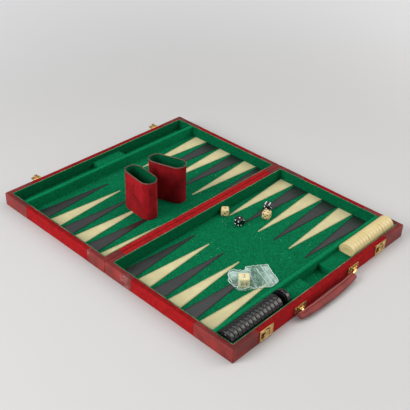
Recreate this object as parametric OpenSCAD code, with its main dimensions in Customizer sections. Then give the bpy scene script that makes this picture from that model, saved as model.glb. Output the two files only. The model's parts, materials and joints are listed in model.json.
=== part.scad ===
// A folding travel case that opens into a backgammon board.
// The case lies open and flat. X runs across the fold, Y along it and Z up.
// The origin is under the middle of the open case, handle and hasps included.
// The half on the +X side, the base, carries the handle and the locks.
// The half on the -X side, the lid, carries the hasps, and folds over the base.

/* [Case] */
// Width of the case, along the fold
case_w = 457; // [445:1:465]
// Length of one half, from the seam to its end wall
half_l = 290; // [286:1:300]
// Height of one half, from the underside to the rim
half_h = 26; // [26:0.5:30]
// Thickness of a wall with its coverings
wall_t = 12; // [12:0.5:14]
// Gap between the two halves at the seam
seam_gap = 0.8; // [0.6:0.1:1.2]
// Radius of the upright outer edges
corner_r = 1.5; // [1:0.5:3]

/* [Coverings] */
// Thickness of the leatherette
leather_t = 1.0; // [0.9:0.1:1.2]
// Thickness of the velvet
velvet_t = 0.8; // [0.6:0.1:0.8]
// Thickness of the felt lining
felt_t = 0.8; // [0.6:0.1:1]
// Length of a leatherette patch along an end wall
end_patch_y = 56.5; // [40:0.5:70]
// Length of the base's outer patches along a side wall
base_patch_x = 81; // [50:1:90]
// Length of the lid's outer patches along a side wall
lid_patch_x = 68; // [50:1:90]
// Length of a leatherette patch along the fold
fold_patch_y = 38.5; // [30:0.5:60]
// Length of the base's patches from the fold along a side wall
base_fold_patch_x = 66; // [30:1:80]
// Length of the lid's patches from the fold along a side wall
lid_fold_patch_x = 45; // [30:1:80]

/* [Floor] */
// Height of the top of the hardboard panel
panel_top = 2.8; // [2.4:0.1:3.2]
// Height of the top of the felt floor
floor_z = 3.4; // [3.2:0.1:4]
// Thickness of a vinyl point
point_t = 0.5; // [0.4:0.1:0.8]
// Width of a point at the wall
point_w = 31; // [26:0.5:34]
// Distance from one point to the next
point_pitch = 35.7; // [34:0.1:36]
// Distance from the seam to the middle of the first point
first_point_x = 31; // [29:0.5:33]
// Distance from the middle line to the tip of a point
point_tip_y = 46; // [40:1:60]

/* [Compartments] */
// Width of the compartment for the checkers
tray_w = 33.4; // [33.4:0.1:36]
// Width of the rail between the field and the compartment
rail_w = 8.2; // [6:0.1:10]
// Height of the top of the raised floors in the compartments
step_z = 16.4; // [12:0.2:18]

/* [Checkers] */
// Diameter of a checker
checker_d = 32.6; // [30:0.1:33]
// Thickness of a checker
checker_t = 8; // [7:0.1:8]
// Distance from one cream checker to the next
cream_pitch = 8.15; // [8.1:0.05:8.2]
// Distance from one black checker to the next
black_pitch = 8.5; // [8.1:0.05:8.5]
// Lean of the loose black checker, in degrees
checker_lean = 10; // [6:1:11]

/* [Cups] */
// Length of a dice cup across its long side
cup_l = 76; // [64:1:80]
// Width of a dice cup across its narrow side
cup_w = 34; // [30:1:36]
// Height of a dice cup
cup_h = 80; // [70:1:90]
// Thickness of the board and suede of a cup
cup_wall = 1.6; // [1.2:0.1:2]
// Thickness of the felt in a cup
cup_felt = 1.0; // [0.8:0.1:1.4]

/* [Dice] */
// Side of a die
die_s = 15; // [12:0.5:16]
// Side of the doubling cube
cube_s = 18.5; // [16:0.5:20]
// Diameter of a pip
pip_d = 2.4; // [1.8:0.1:3]

/* [Fittings] */
// Distance from the middle line to a lock
latch_y = 154; // [140:1:160]
// Height of the hasp's pin above the table
hasp_z = 23.8; // [23.4:0.1:24]
// Angle between the open hasp and the wall
hasp_open = 90; // [70:1:90]
// Distance from the middle line to a handle bracket
bracket_y = 72; // [66:1:76]
// Height of the handle's pivot
pivot_z = 14; // [13.5:0.1:15]
// Slope of the resting handle below level, in degrees
handle_slope = 28; // [22:1:28]

/* [Hidden] */
$fn = 48;

// Planes that the pieces share
seam_x = seam_gap / 2;
half_w = case_w / 2;
board_x0 = seam_x + leather_t;
board_x1 = half_l - leather_t;
board_w = half_w - leather_t;
board_top = half_h - leather_t;
velvet_face_x = half_l - leather_t + velvet_t;
inner_x0 = seam_x + wall_t;
inner_x1 = half_l - wall_t;
inner_w = half_w - wall_t;
under_t = leather_t;
tray_x0 = inner_x1 - tray_w;
rail_x0 = tray_x0 - rail_w;
rail_top = half_h - 1.2;
point_top = floor_z + point_t;

// Heights where the two halves meet when the case is shut
fold_z = half_h + 0.2;

// Steps of the base compartment, from y to y
base_steps = [[-79, -18.5], [35, 91.8]];
lid_step = [-29, 40];

// Rivets
rivet_r = 0.8;
rivet_head_r = 1.5;
rivet_head_t = 0.7;
rivet_len = 6;

// Lock on the base, with t along Y from its middle
plate_t = 1.2;
plate_face_x = velvet_face_x + plate_t;
latch_half_y = 15.5;
latch_z0 = 3.5;
latch_z1 = 24;
latch_case_t = [-14.4, 6.4];
latch_case_z = [7, 23.6];
latch_case_depth = 5.6;
latch_case_wall = 0.8;
tongue_reach = 7;
tongue_z = 2 * fold_z - hasp_z - tongue_reach;
slit_t = 1;
slit_w = 8;
slit_z = [tongue_z - 2.4, tongue_z + 1];
latch_travel = 4;
knob_t = -5.5;
knob_z = 12.8;
knob_r = 2.8;
knob_t_out = 2.4;
knob_gap = 0.3;
stem_r = 1;
stem_play = 0.3;
slider_x = [velvet_face_x - 1.4, velvet_face_x - 0.4];
slider_t = [-8, -3];
slider_z0 = 9.5;
finger_t = -0.4;
finger_z = [tongue_z - 1.6, tongue_z + 0.8];
spring_x = velvet_face_x - 1.5;
spring_r = 1.2;
spring_wire = 0.4;
latch_rivets = [[-13, 5.6], [13, 5.6], [13, 21.8]];

// Hasp on the lid, drawn shut and turned to its open angle
hasp_x = velvet_face_x + 2.4;
hasp_half_y = 8.5;
hasp_t = 1.2;
hasp_len = 10;
hasp_pin_r = 0.8;
hasp_round_r = 3;
hasp_lip_r = 0.9;
tongue_half_y = 3.2;
tongue_half_t = 0.6;
tongue_in = 5.3;
notch_in = [2.5, 4.1];
pin_play = 0.1;
hasp_barrel_r = 1.9;
barrel_half_y = 4;
barrel_gap = 0.3;
hasp_plate_z0 = 12;
hasp_rivets = [[-5.5, 15], [5.5, 15]];

// Handle, with u out from its pivot in its own plane
pivot_x = velvet_face_x + 3.4;
// The grip hangs askew, nearer to the left bracket
grip_y = -12;
grip_half = 75;
grip_out_u = 20.1;
grip_out_sag = 5.4;
grip_in_u = 4.8;
grip_in_sag = 2.5;
grip_corner_r = 4;
// Half thickness of the grip at three levels, and how far each is drawn in from the outline
grip_levels = [[4, 2.2], [3.2, 0.9], [2, 0]];
core_mid_u = 12.6;
core_sag = 3.9;
core_turn = 5.5;
core_w = 4;
core_t = 1.6;
bar_r = 1.1;
loop_bore_r = 1.2;
loop_r = 2.1;
loop_w = 6;
loop_strap_t = 1.4;
// How far the right loop leans to the grip's end, and where along it that starts
loop_lean = 14;
loop_lean_u = [3.2, 6];
ear_y = 4.2;
ear_t = 1.4;
bracket_half_y = 14;
bracket_z = [pivot_z - 5.5, pivot_z + 5.5];
bracket_t = 1;
bracket_rim_t = 0.8;
bracket_rim_w = 1.3;
wing_y = 5.4;
bracket_rivet_t = (wing_y + bracket_half_y) / 2;
ear_r = 2.4;
grip_notch_r = 3.2;
grip_notch_y = 6;

// The core's inner edge at a place along the fold, which a loop ends short of
function loop_end_u(y) = core_mid_u - core_sag * pow((y - grip_y) / grip_half, 2) - core_w / 2 - 0.2;

// Furthest reach of the handle, and the place of the fold that centres the whole open case
grip_reach_x = pivot_x + grip_out_u * cos(handle_slope) + grip_levels[2][0] * sin(handle_slope);
fold_x = -(grip_reach_x - hasp_x - hasp_len) / 2;

// Dice cups: place, height of what each stands on, and the turn of the long side
cup_front = [-94.7, -60.8, point_top, -5];
cup_back = [-97, 8, floor_z, 19];
cup_floor = 2;
cup_base_play = 0.02;

// Dice: place, turn, and the pips on the top, front and right faces
die_cream_left_at = [23.2, 42, floor_z, -47];
die_black_front_at = [63, 38, floor_z, 0];
die_cream_right_at = [84, 90.5, floor_z, -22];
die_black_back_at = [68.5, 111, point_top, 20];
pip_depth = 0.5;
pip_step = die_s * 0.26;
die_ball_r = die_s * 0.69;

// Doubling cube in its bag
cube_at = [184.7, -86.2];
cube_turn = 46.2;
cube_ball_r = cube_s * 0.78;
bag_z = point_top;
film_t = 0.5;
bag_flat = 2.2;
bag_room = 0.02;
bag_skirt = 4;
bag_outline = [
    [158, -99], [190, -104], [206, -80], [221, -58], [219, -37],
    [178, -16], [156, -46], [152, -61], [144, -68], [147, -86]
];

// Rows of checkers in the compartment
tray_mid_x = (tray_x0 + inner_x1) / 2;
checker_r = checker_d / 2;
checker_z = floor_z + checker_r;
row_end_y = inner_w - 0.3;
cream_count = 15;
black_count = 14;
cream_breaks = [4, 9];
cream_break = 0.8;
ring_depth = 0.6;
ring_outer = checker_r - 3;
ring_inner = checker_r - 5;
loose_y = -83.4;
loose_z = floor_z + checker_r * cos(checker_lean) + checker_t / 2 * sin(checker_lean) + 0.02;

// Shapes that are used again

// One half is drawn with the fold at x = 0. The base stands at the fold, and the lid is turned over
module at_base() translate([fold_x, 0, 0]) children();
module at_lid() translate([fold_x, 0, 0]) mirror([1, 0, 0]) children();

// A rectangle from [x0, y0] to [x1, y1] with round corners
module round_rect(low, high, r) {
    translate([low.x + r, low.y]) square([high.x - low.x - 2 * r, high.y - low.y]);
    translate([low.x, low.y + r]) square([high.x - low.x, high.y - low.y - 2 * r]);
    for (x = [low.x + r, high.x - r], y = [low.y + r, high.y - r]) translate([x, y]) circle(r);
}

// A box from one corner to the other
module block(low, high) {
    translate(low) cube(high - low);
}

// A rounded slab over one half, inset from the outside
module half_slab(z0, z1, inset = 0) {
    translate([0, 0, z0])
        linear_extrude(z1 - z0)
            round_rect([seam_x + inset, -half_w + inset], [half_l - inset, half_w - inset], corner_r);
}

// The square ends of one half where the leatherette lies
module patch_zone(outer_x, inner_x) {
    for (side = [-1, 1]) {
        translate([half_l - outer_x, side > 0 ? half_w - end_patch_y : -half_w - 1, -1])
            cube([outer_x + 1, end_patch_y + 1, half_h + 2]);
        translate([-1, side > 0 ? half_w - fold_patch_y : -half_w - 1, -1])
            cube([inner_x + 1 + seam_x, fold_patch_y + 1, half_h + 2]);
    }
}

// The opening inside the walls of one half
module half_opening() {
    block([inner_x0, -inner_w, panel_top], [inner_x1, inner_w, half_h + 1]);
}

// The covering of the walls and the rim, of the given thickness
module side_cover(thickness) {
    difference() {
        half_slab(under_t, board_top + thickness, leather_t - thickness);
        block([board_x0, -board_w, 0], [board_x1, board_w, board_top]);
        half_opening();
    }
}

// The piece of the fold's rim that the hinge cloth covers
module fold_rim_zone() {
    block([-inner_x0, -half_w + fold_patch_y, board_top], [inner_x0, half_w - fold_patch_y, half_h + 1]);
}

// Holes for the lock cases and the rivets in the base's end wall
module base_wall_holes() {
    for (side = [-1, 1]) {
        translate([0, side * latch_y, 0]) {
            block([velvet_face_x - latch_case_depth, latch_case_t[0], latch_case_z[0]],
                  [half_l + 1, latch_case_t[1], latch_case_z[1]]);
            for (p = latch_rivets) rivet_shank(p);
        }
        for (end = [-1, 1]) rivet_shank([side * bracket_y + end * bracket_rivet_t, pivot_z]);
    }
}

module lid_wall_holes() {
    for (side = [-1, 1], p = hasp_rivets) rivet_shank([side * latch_y + p[0], p[1]]);
}

// A rivet's shank through the end wall, at [y, z]
module rivet_shank(at) {
    translate([velvet_face_x - rivet_len, at[0], at[1]])
        rotate([0, 90, 0]) cylinder(h = rivet_len + plate_t + 1, r = rivet_r);
}

// A whole rivet on a plate whose face is at face_x
module rivet(at, face_x) {
    translate([velvet_face_x - rivet_len, at[0], at[1]])
        rotate([0, 90, 0]) {
            cylinder(h = face_x - velvet_face_x + rivet_len, r = rivet_r);
            translate([0, 0, face_x - velvet_face_x + rivet_len])
                cylinder(h = rivet_head_t, r = rivet_head_r);
        }
}

// The four boards of one half
module half_boards() {
    board_in_x0 = inner_x0 - felt_t;
    board_in_x1 = inner_x1 + felt_t;
    board_in_w = inner_w + felt_t;
    block([board_x0, -board_w, panel_top], [board_in_x0, board_w, board_top]);
    block([board_in_x1, -board_w, panel_top], [board_x1, board_w, board_top]);
    for (side = [-1, 1])
        block([board_in_x0, side > 0 ? board_in_w : -board_w, panel_top],
              [board_in_x1, side > 0 ? board_w : -board_in_w, board_top]);
}

module half_panel() {
    block([board_x0, -board_w, under_t], [board_x1, board_w, panel_top]);
}

module half_underside_velvet(outer_x, inner_x) {
    difference() {
        half_slab(under_t - velvet_t, under_t);
        patch_zone(outer_x, inner_x);
    }
}

module half_underside_corners(outer_x, inner_x) {
    intersection() {
        half_slab(0, under_t);
        patch_zone(outer_x, inner_x);
    }
}

module half_side_velvet(outer_x, inner_x) {
    difference() {
        side_cover(velvet_t);
        patch_zone(outer_x, inner_x);
        fold_rim_zone();
    }
}

module half_corner_leather(outer_x, inner_x) {
    intersection() {
        side_cover(leather_t);
        patch_zone(outer_x, inner_x);
    }
}

module half_felt_floor() {
    block([inner_x0 - felt_t, -inner_w - felt_t, panel_top],
          [inner_x1 + felt_t, inner_w + felt_t, floor_z]);
}

module half_felt_lining() {
    difference() {
        block([inner_x0 - felt_t, -inner_w - felt_t, floor_z],
              [inner_x1 + felt_t, inner_w + felt_t, board_top]);
        half_opening();
    }
}

// The felt-covered rail, with a round top
module half_rail() {
    round_r = 1.6;
    translate([0, inner_w, 0]) rotate([90, 0, 0]) linear_extrude(2 * inner_w) {
        translate([rail_x0, floor_z]) square([rail_w, rail_top - floor_z - round_r]);
        translate([rail_x0 + round_r, floor_z]) square([rail_w - 2 * round_r, rail_top - floor_z]);
        for (x = [rail_x0 + round_r, tray_x0 - round_r]) translate([x, rail_top - round_r]) circle(round_r);
    }
}

// A raised floor in the compartment, from y0 to y1
module tray_step(y0, y1) {
    block([tray_x0, y0, floor_z], [inner_x1, y1, step_z]);
}

// One tapering point with a small round tip, towards +Y from the -Y wall
module point_shape() {
    tip_r = 1.2;
    base_y = -inner_w + 1;
    linear_extrude(point_t) {
        polygon([[-point_w / 2, base_y], [point_w / 2, base_y],
                 [tip_r, -point_tip_y - tip_r], [-tip_r, -point_tip_y - tip_r]]);
        translate([0, -point_tip_y - tip_r]) circle(tip_r);
    }
}

// Points of one half: every second one from the given start, on both sides
module half_points(near_start) {
    for (i = [0 : 5]) {
        x = first_point_x + point_pitch * i;
        if (i % 2 == near_start) translate([x, 0, floor_z]) point_shape();
        if (i % 2 != near_start) translate([x, 0, floor_z]) mirror([0, 1, 0]) point_shape();
    }
}

// The base half

module base_boards() {
    color("tan") at_base() difference() { half_boards(); base_wall_holes(); }
}
module base_panel() { color("peru") at_base() half_panel(); }
module base_underside_velvet() {
    color("firebrick") at_base() half_underside_velvet(base_patch_x, base_fold_patch_x);
}
module base_underside_corners() {
    color("brown") at_base() half_underside_corners(base_patch_x, base_fold_patch_x);
}
module base_side_velvet() {
    color("firebrick") at_base() difference() {
        half_side_velvet(base_patch_x, base_fold_patch_x);
        base_wall_holes();
    }
}
module base_corner_leather() {
    color("brown") at_base() half_corner_leather(base_patch_x, base_fold_patch_x);
}
module base_felt_floor() { color("green") at_base() half_felt_floor(); }
module base_felt_lining() { color("darkgreen") at_base() half_felt_lining(); }
module base_rail() { color("seagreen") at_base() half_rail(); }
module base_tray_steps() { color("green") at_base() for (s = base_steps) tray_step(s[0], s[1]); }
module base_light_points() { color("wheat") at_base() half_points(1); }
module base_dark_points() { color("dimgray") at_base() half_points(0); }

// The lid half, the base's mirror image but for its compartment and fittings

module lid_boards() {
    color("tan") at_lid() difference() { half_boards(); lid_wall_holes(); }
}
module lid_panel() { color("peru") at_lid() half_panel(); }
module lid_underside_velvet() {
    color("firebrick") at_lid() half_underside_velvet(lid_patch_x, lid_fold_patch_x);
}
module lid_underside_corners() {
    color("brown") at_lid() half_underside_corners(lid_patch_x, lid_fold_patch_x);
}
module lid_side_velvet() {
    color("firebrick") at_lid() difference() {
        half_side_velvet(lid_patch_x, lid_fold_patch_x);
        lid_wall_holes();
    }
}
module lid_corner_leather() {
    color("brown") at_lid() half_corner_leather(lid_patch_x, lid_fold_patch_x);
}
module lid_felt_floor() { color("green") at_lid() half_felt_floor(); }
module lid_felt_lining() { color("darkgreen") at_lid() half_felt_lining(); }
module lid_rail() { color("seagreen") at_lid() half_rail(); }
module lid_tray_block() { color("green") at_lid() tray_step(lid_step[0], lid_step[1]); }
module lid_light_points() { color("wheat") at_lid() half_points(0); }
module lid_dark_points() { color("dimgray") at_lid() half_points(1); }

// The velvet strip over both rims at the fold, which is the hinge
module hinge_cloth() {
    color("crimson") at_base()
        block([-inner_x0, -half_w + fold_patch_y, board_top],
              [inner_x0, half_w - fold_patch_y, board_top + velvet_t]);
}

// The handle

module on_handle() {
    at_base() translate([pivot_x, 0, pivot_z]) rotate([0, handle_slope, 0]) children();
}

// Radius of an arc that falls back by sag at the given half length
function arc_r(sag) = (grip_half * grip_half + sag * sag) / (2 * sag);

// The grip's outline between its two arcs, drawn in by the inset, with round corners
module grip_outline(inset) {
    out_r = arc_r(grip_out_sag);
    in_r = arc_r(grip_in_sag);
    end_y = grip_half - grip_corner_r;
    corner_out_u = grip_out_u - out_r + sqrt(pow(out_r - grip_corner_r, 2) - end_y * end_y);
    corner_in_u = grip_in_u - in_r + sqrt(pow(in_r + grip_corner_r, 2) - end_y * end_y);
    difference() {
        intersection() {
            translate([grip_out_u - out_r, 0]) circle(out_r - inset, $fn = 360);
            square([4 * grip_out_u, 2 * end_y], center = true);
        }
        translate([grip_in_u - in_r, 0]) circle(in_r + inset, $fn = 720);
    }
    translate([corner_in_u, inset - grip_half])
        square([corner_out_u - corner_in_u, 2 * (grip_half - inset)]);
    for (u = [corner_in_u, corner_out_u], side = [-1, 1])
        translate([u, side * end_y]) circle(grip_corner_r - inset);
}

// The steel strip, bent like the grip
module core_strip() {
    r = arc_r(core_sag);
    translate([core_mid_u - r, grip_y, 0])
        rotate([0, 0, -core_turn]) rotate_extrude(angle = 2 * core_turn, $fn = 360)
            translate([r, 0]) square([core_w, core_t], center = true);
}

// The strap of a loop, from its barrel into the grip. The right one leans, because its end lies past the grip
module loop_strap(side) {
    lean = side > 0 ? loop_lean : 0;
    end_u = loop_end_u(side * (bracket_y + loop_w / 2) - lean);
    linear_extrude(loop_strap_t, center = true) {
        polygon([[loop_r - 0.4, -loop_w / 2], [loop_r - 0.4, loop_w / 2],
                 [loop_lean_u[1], loop_w / 2], [loop_lean_u[0], -loop_w / 2]]);
        polygon([[loop_lean_u[0], -loop_w / 2], [loop_lean_u[1], loop_w / 2],
                 [end_u, loop_w / 2 - lean], [end_u - 1.5, -loop_w / 2 - lean]]);
    }
}

module handle_grip() {
    color("indianred") on_handle() difference() {
        for (level = grip_levels)
            translate([0, grip_y, -level[0]]) linear_extrude(2 * level[0]) grip_outline(level[1]);
        core_strip();
        for (side = [-1, 1]) translate([0, side * bracket_y, 0]) {
            loop_strap(side);
            translate([0, grip_notch_y, 0]) rotate([90, 0, 0])
                cylinder(h = 2 * grip_notch_y, r = grip_notch_r);
        }
    }
}

module handle_core() {
    color("silver") on_handle() core_strip();
}

module handle_loops() {
    color("gold") on_handle() for (side = [-1, 1]) translate([0, side * bracket_y, 0]) difference() {
        union() {
            translate([0, loop_w / 2, 0]) rotate([90, 0, 0]) cylinder(h = loop_w, r = loop_r);
            loop_strap(side);
        }
        translate([0, loop_w, 0]) rotate([90, 0, 0]) cylinder(h = 2 * loop_w, r = loop_bore_r);
    }
}

// The raised rim round one wing of a bracket, which starts at y0
module bracket_rim(y0) {
    wing = bracket_half_y - wing_y;
    face_x = velvet_face_x + bracket_t;
    difference() {
        block([velvet_face_x, y0, bracket_z[0]], [face_x + bracket_rim_t, y0 + wing, bracket_z[1]]);
        block([face_x, y0 + bracket_rim_w, bracket_z[0] + bracket_rim_w],
              [face_x + 2 * bracket_rim_t, y0 + wing - bracket_rim_w, bracket_z[1] - bracket_rim_w]);
    }
}

module handle_brackets() {
    color("goldenrod") at_base() for (side = [-1, 1]) translate([0, side * bracket_y, 0]) difference() {
        union() {
            block([velvet_face_x, -bracket_half_y, bracket_z[0]],
                  [velvet_face_x + bracket_t, bracket_half_y, bracket_z[1]]);
            for (y0 = [-bracket_half_y, wing_y]) bracket_rim(y0);
            for (end = [-1, 1]) translate([0, end * ear_y - ear_t / 2, 0]) {
                block([velvet_face_x, 0, pivot_z - ear_r], [pivot_x, ear_t, pivot_z + ear_r]);
                translate([pivot_x, ear_t, pivot_z]) rotate([90, 0, 0]) cylinder(h = ear_t, r = ear_r);
            }
            translate([pivot_x, ear_y, pivot_z]) rotate([90, 0, 0]) cylinder(h = 2 * ear_y, r = bar_r);
        }
        for (end = [-1, 1]) rivet_shank([end * bracket_rivet_t, pivot_z]);
    }
}

module base_rivets() {
    color("gold") at_base() for (side = [-1, 1]) {
        for (p = latch_rivets) rivet([side * latch_y + p[0], p[1]], plate_face_x);
        for (end = [-1, 1])
            rivet([side * bracket_y + end * bracket_rivet_t, pivot_z], velvet_face_x + bracket_t);
    }
}

// The locks on the base

module latch_plates() {
    color("goldenrod") at_base() for (side = [-1, 1]) translate([0, side * latch_y, 0]) difference() {
        block([velvet_face_x, -latch_half_y, latch_z0], [plate_face_x, latch_half_y, latch_z1]);
        block([velvet_face_x - 1, slit_t - slit_w / 2, slit_z[0]],
              [plate_face_x + 1, slit_t + slit_w / 2, slit_z[1]]);
        knob_slot();
        for (p = latch_rivets) rivet_shank(p);
    }
}

// The slot that the knob's stem runs in
module knob_slot() {
    slot_r = stem_r + stem_play;
    for (t = [knob_t, knob_t - latch_travel])
        translate([velvet_face_x - 1, t, knob_z]) rotate([0, 90, 0]) cylinder(h = plate_t + 2, r = slot_r);
    block([velvet_face_x - 1, knob_t - latch_travel, knob_z - slot_r],
          [plate_face_x + 1, knob_t, knob_z + slot_r]);
}

// The shallow boxes behind the plates
module latch_cases() {
    w = latch_case_wall;
    color("darkgoldenrod") at_base() for (side = [-1, 1]) translate([0, side * latch_y, 0]) difference() {
        block([velvet_face_x - latch_case_depth, latch_case_t[0], latch_case_z[0]],
              [velvet_face_x, latch_case_t[1], latch_case_z[1]]);
        block([velvet_face_x - latch_case_depth + w, latch_case_t[0] + w, latch_case_z[0] + w],
              [velvet_face_x + 1, latch_case_t[1] - w, latch_case_z[1] - w]);
    }
}

// The spring that pushes each slider towards its slit
module latch_springs() {
    spring_end = latch_case_t[0] + latch_case_wall;
    spring_len = slider_t[0] - spring_end;
    color("gray") at_base() for (side = [-1, 1])
        translate([spring_x, side * latch_y + spring_end, knob_z]) rotate([-90, 0, 0]) difference() {
            cylinder(h = spring_len, r = spring_r);
            translate([0, 0, -1]) cylinder(h = spring_len + 2, r = spring_r - spring_wire);
        }
}

// The slider: a plate behind the front, a finger for the hasp's tongue, a stem and a knob
module latch_slider(side) {
    knob_x = plate_face_x + knob_gap;
    color("gold") at_base() translate([0, side * latch_y, 0]) {
        block([slider_x[0], slider_t[0], slider_z0], [slider_x[1], slider_t[1], finger_z[1]]);
        block([slider_x[0], slider_t[1], finger_z[0]], [slider_x[1], finger_t, finger_z[1]]);
        translate([slider_x[0], knob_t, knob_z]) rotate([0, 90, 0])
            cylinder(h = knob_x + 0.1 - slider_x[0], r = stem_r);
        translate([knob_x, knob_t, knob_z]) rotate([0, 90, 0]) cylinder(h = knob_t_out, r = knob_r);
    }
}
module latch_slider_left() { latch_slider(-1); }
module latch_slider_right() { latch_slider(1); }

// The hasps on the lid

// A hasp shut is upright, with z up from its pin: flap, barrel, lip and tongue
module hasp(side) {
    flap_z0 = hasp_barrel_r + 0.5;
    round_z = hasp_len - hasp_round_r;
    narrow_y = hasp_half_y - hasp_round_r;
    color("goldenrod") at_lid() translate([hasp_x, side * latch_y, hasp_z]) rotate([0, hasp_open, 0])
        difference() {
            union() {
                block([-hasp_t / 2, -hasp_half_y, flap_z0], [hasp_t / 2, hasp_half_y, round_z]);
                block([-hasp_t / 2, -narrow_y, 0], [hasp_t / 2, narrow_y, hasp_len]);
                for (t = [-1, 1]) translate([-hasp_t / 2, t * narrow_y, round_z])
                    rotate([0, 90, 0]) cylinder(h = hasp_t, r = hasp_round_r);
                translate([0, barrel_half_y, 0]) rotate([90, 0, 0])
                    cylinder(h = 2 * barrel_half_y, r = hasp_barrel_r);
                translate([hasp_t / 2, narrow_y, hasp_len - hasp_lip_r]) rotate([90, 0, 0])
                    cylinder(h = 2 * narrow_y, r = hasp_lip_r);
                block([-tongue_in, slit_t - tongue_half_y, tongue_reach - tongue_half_t],
                      [0, slit_t + tongue_half_y, tongue_reach + tongue_half_t]);
            }
            translate([0, hasp_half_y, 0]) rotate([90, 0, 0])
                cylinder(h = 2 * hasp_half_y, r = hasp_pin_r + pin_play);
            for (t = [-1, 1]) block([-hasp_round_r, t > 0 ? barrel_half_y : -hasp_half_y - 1, -hasp_round_r],
                                    [hasp_round_r, t > 0 ? hasp_half_y + 1 : -barrel_half_y, flap_z0]);
            block([-notch_in[1], slit_t - tongue_half_y - 1, tongue_reach - tongue_half_t - 1],
                  [-notch_in[0], slit_t - 1, tongue_reach + tongue_half_t + 1]);
        }
}
module hasp_left() { hasp(-1); }
module hasp_right() { hasp(1); }

module hasp_plates() {
    room = barrel_half_y + barrel_gap;
    color("goldenrod") at_lid() for (side = [-1, 1]) translate([0, side * latch_y, 0]) difference() {
        union() {
            block([velvet_face_x, -hasp_half_y, hasp_plate_z0], [plate_face_x, hasp_half_y, hasp_z]);
            translate([hasp_x, hasp_half_y, hasp_z]) rotate([90, 0, 0])
                cylinder(h = 2 * hasp_half_y, r = hasp_barrel_r);
        }
        block([velvet_face_x - 1, -room, hasp_z - hasp_barrel_r - 0.4],
              [hasp_x + hasp_barrel_r + 1, room, hasp_z + hasp_barrel_r + 1]);
        translate([hasp_x, hasp_half_y + 1, hasp_z]) rotate([90, 0, 0])
            cylinder(h = 2 * hasp_half_y + 2, r = hasp_pin_r);
        for (p = hasp_rivets) rivet_shank(p);
    }
}

module hasp_pins() {
    pin_half_y = hasp_half_y + 0.3;
    color("silver") at_lid() for (side = [-1, 1])
        translate([hasp_x, side * latch_y + pin_half_y, hasp_z]) rotate([90, 0, 0])
            cylinder(h = 2 * pin_half_y, r = hasp_pin_r);
}

module lid_rivets() {
    color("gold") at_lid() for (side = [-1, 1], p = hasp_rivets)
        rivet([side * latch_y + p[0], p[1]], plate_face_x);
}

// The dice cups, each an oval with flat sides

module oval(inset = 0) {
    r = cup_w / 2;
    half = cup_l / 2 - r;
    translate([-half, -r + inset]) square([2 * half, 2 * (r - inset)]);
    for (x = [-half, half]) translate([x, 0]) circle(r - inset, $fn = 72);
}

module at_cup(place) {
    at_base() translate([place[0], place[1], place[2]]) rotate([0, 0, place[3]]) children();
}

module cup_shell(place) {
    color("firebrick") at_cup(place) difference() {
        linear_extrude(cup_h) oval();
        translate([0, 0, -1]) linear_extrude(cup_h + 2) oval(cup_wall);
    }
}

module cup_lining(place) {
    color("green") at_cup(place) difference() {
        translate([0, 0, cup_floor]) linear_extrude(cup_h - cup_floor) oval(cup_wall);
        translate([0, 0, cup_floor + cup_felt]) linear_extrude(cup_h) oval(cup_wall + cup_felt);
    }
}

module cup_base(place) {
    color("firebrick") at_cup(place) linear_extrude(cup_floor) oval(cup_wall + cup_base_play);
}

module cup_front_shell() { cup_shell(cup_front); }
module cup_front_lining() { cup_lining(cup_front); }
module cup_front_base() { cup_base(cup_front); }
module cup_back_shell() { cup_shell(cup_back); }
module cup_back_lining() { cup_lining(cup_back); }
module cup_back_base() { cup_base(cup_back); }

// The dice

// Places of the pips for a number, as steps from the middle of a face
function pip_places(n) = [
    if (n % 2 == 1) [0, 0],
    if (n > 1) [-1, 1], if (n > 1) [1, -1],
    if (n > 3) [1, 1], if (n > 3) [-1, -1],
    if (n == 6) [-1, 0], if (n == 6) [1, 0]
];

// Dimples of one face, whose outward normal is +Z
module pip_dimples(n) {
    for (p = pip_places(n))
        translate([p[0] * pip_step, p[1] * pip_step, die_s / 2 - pip_depth])
            cylinder(h = 2, r = pip_d / 2, $fn = 16);
}

// A die standing at [x, y, z, turn], with its numbers on top, front and right
module die(at, top, front, right) {
    at_base() translate([at[0], at[1], at[2] + die_s / 2]) rotate([0, 0, at[3]]) difference() {
        intersection() {
            cube(die_s, center = true);
            sphere(die_ball_r, $fn = 72);
        }
        pip_dimples(top);
        rotate([180, 0, 0]) pip_dimples(7 - top);
        rotate([90, 0, 0]) pip_dimples(front);
        rotate([-90, 0, 0]) pip_dimples(7 - front);
        rotate([0, 90, 0]) pip_dimples(right);
        rotate([0, -90, 0]) pip_dimples(7 - right);
    }
}

module die_cream_left() { color("wheat") die(die_cream_left_at, 1, 2, 3); }
module die_black_front() { color("dimgray") die(die_black_front_at, 1, 4, 2); }
module die_cream_right() { color("wheat") die(die_cream_right_at, 4, 5, 1); }
module die_black_back() { color("dimgray") die(die_black_back_at, 6, 3, 5); }

// The doubling cube and the clear bag round it

module at_cube() {
    translate([cube_at[0], cube_at[1], bag_z + film_t + cube_s / 2]) rotate([0, 0, cube_turn]) children();
}

module doubling_cube() {
    color("wheat") at_base() at_cube() intersection() {
        cube(cube_s, center = true);
        sphere(cube_ball_r, $fn = 72);
    }
}

module cube_bag() {
    tent_w = cube_s + 2 * film_t + 0.8;
    tent_h = cube_s + 2 * film_t + 0.2;
    color("lightcyan") at_base() difference() {
        union() {
            translate([0, 0, bag_z]) linear_extrude(bag_flat) polygon(bag_outline);
            translate([cube_at[0], cube_at[1], bag_z]) rotate([0, 0, cube_turn]) hull() {
                translate([-tent_w / 2 - bag_skirt, -tent_w / 2, 0])
                    cube([tent_w + 2 * bag_skirt, tent_w + bag_skirt, 1]);
                translate([-tent_w / 2, -tent_w / 2, 0]) cube([tent_w, tent_w, tent_h]);
            }
        }
        at_cube() cube(cube_s + 2 * bag_room, center = true);
    }
}

// The checkers

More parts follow.
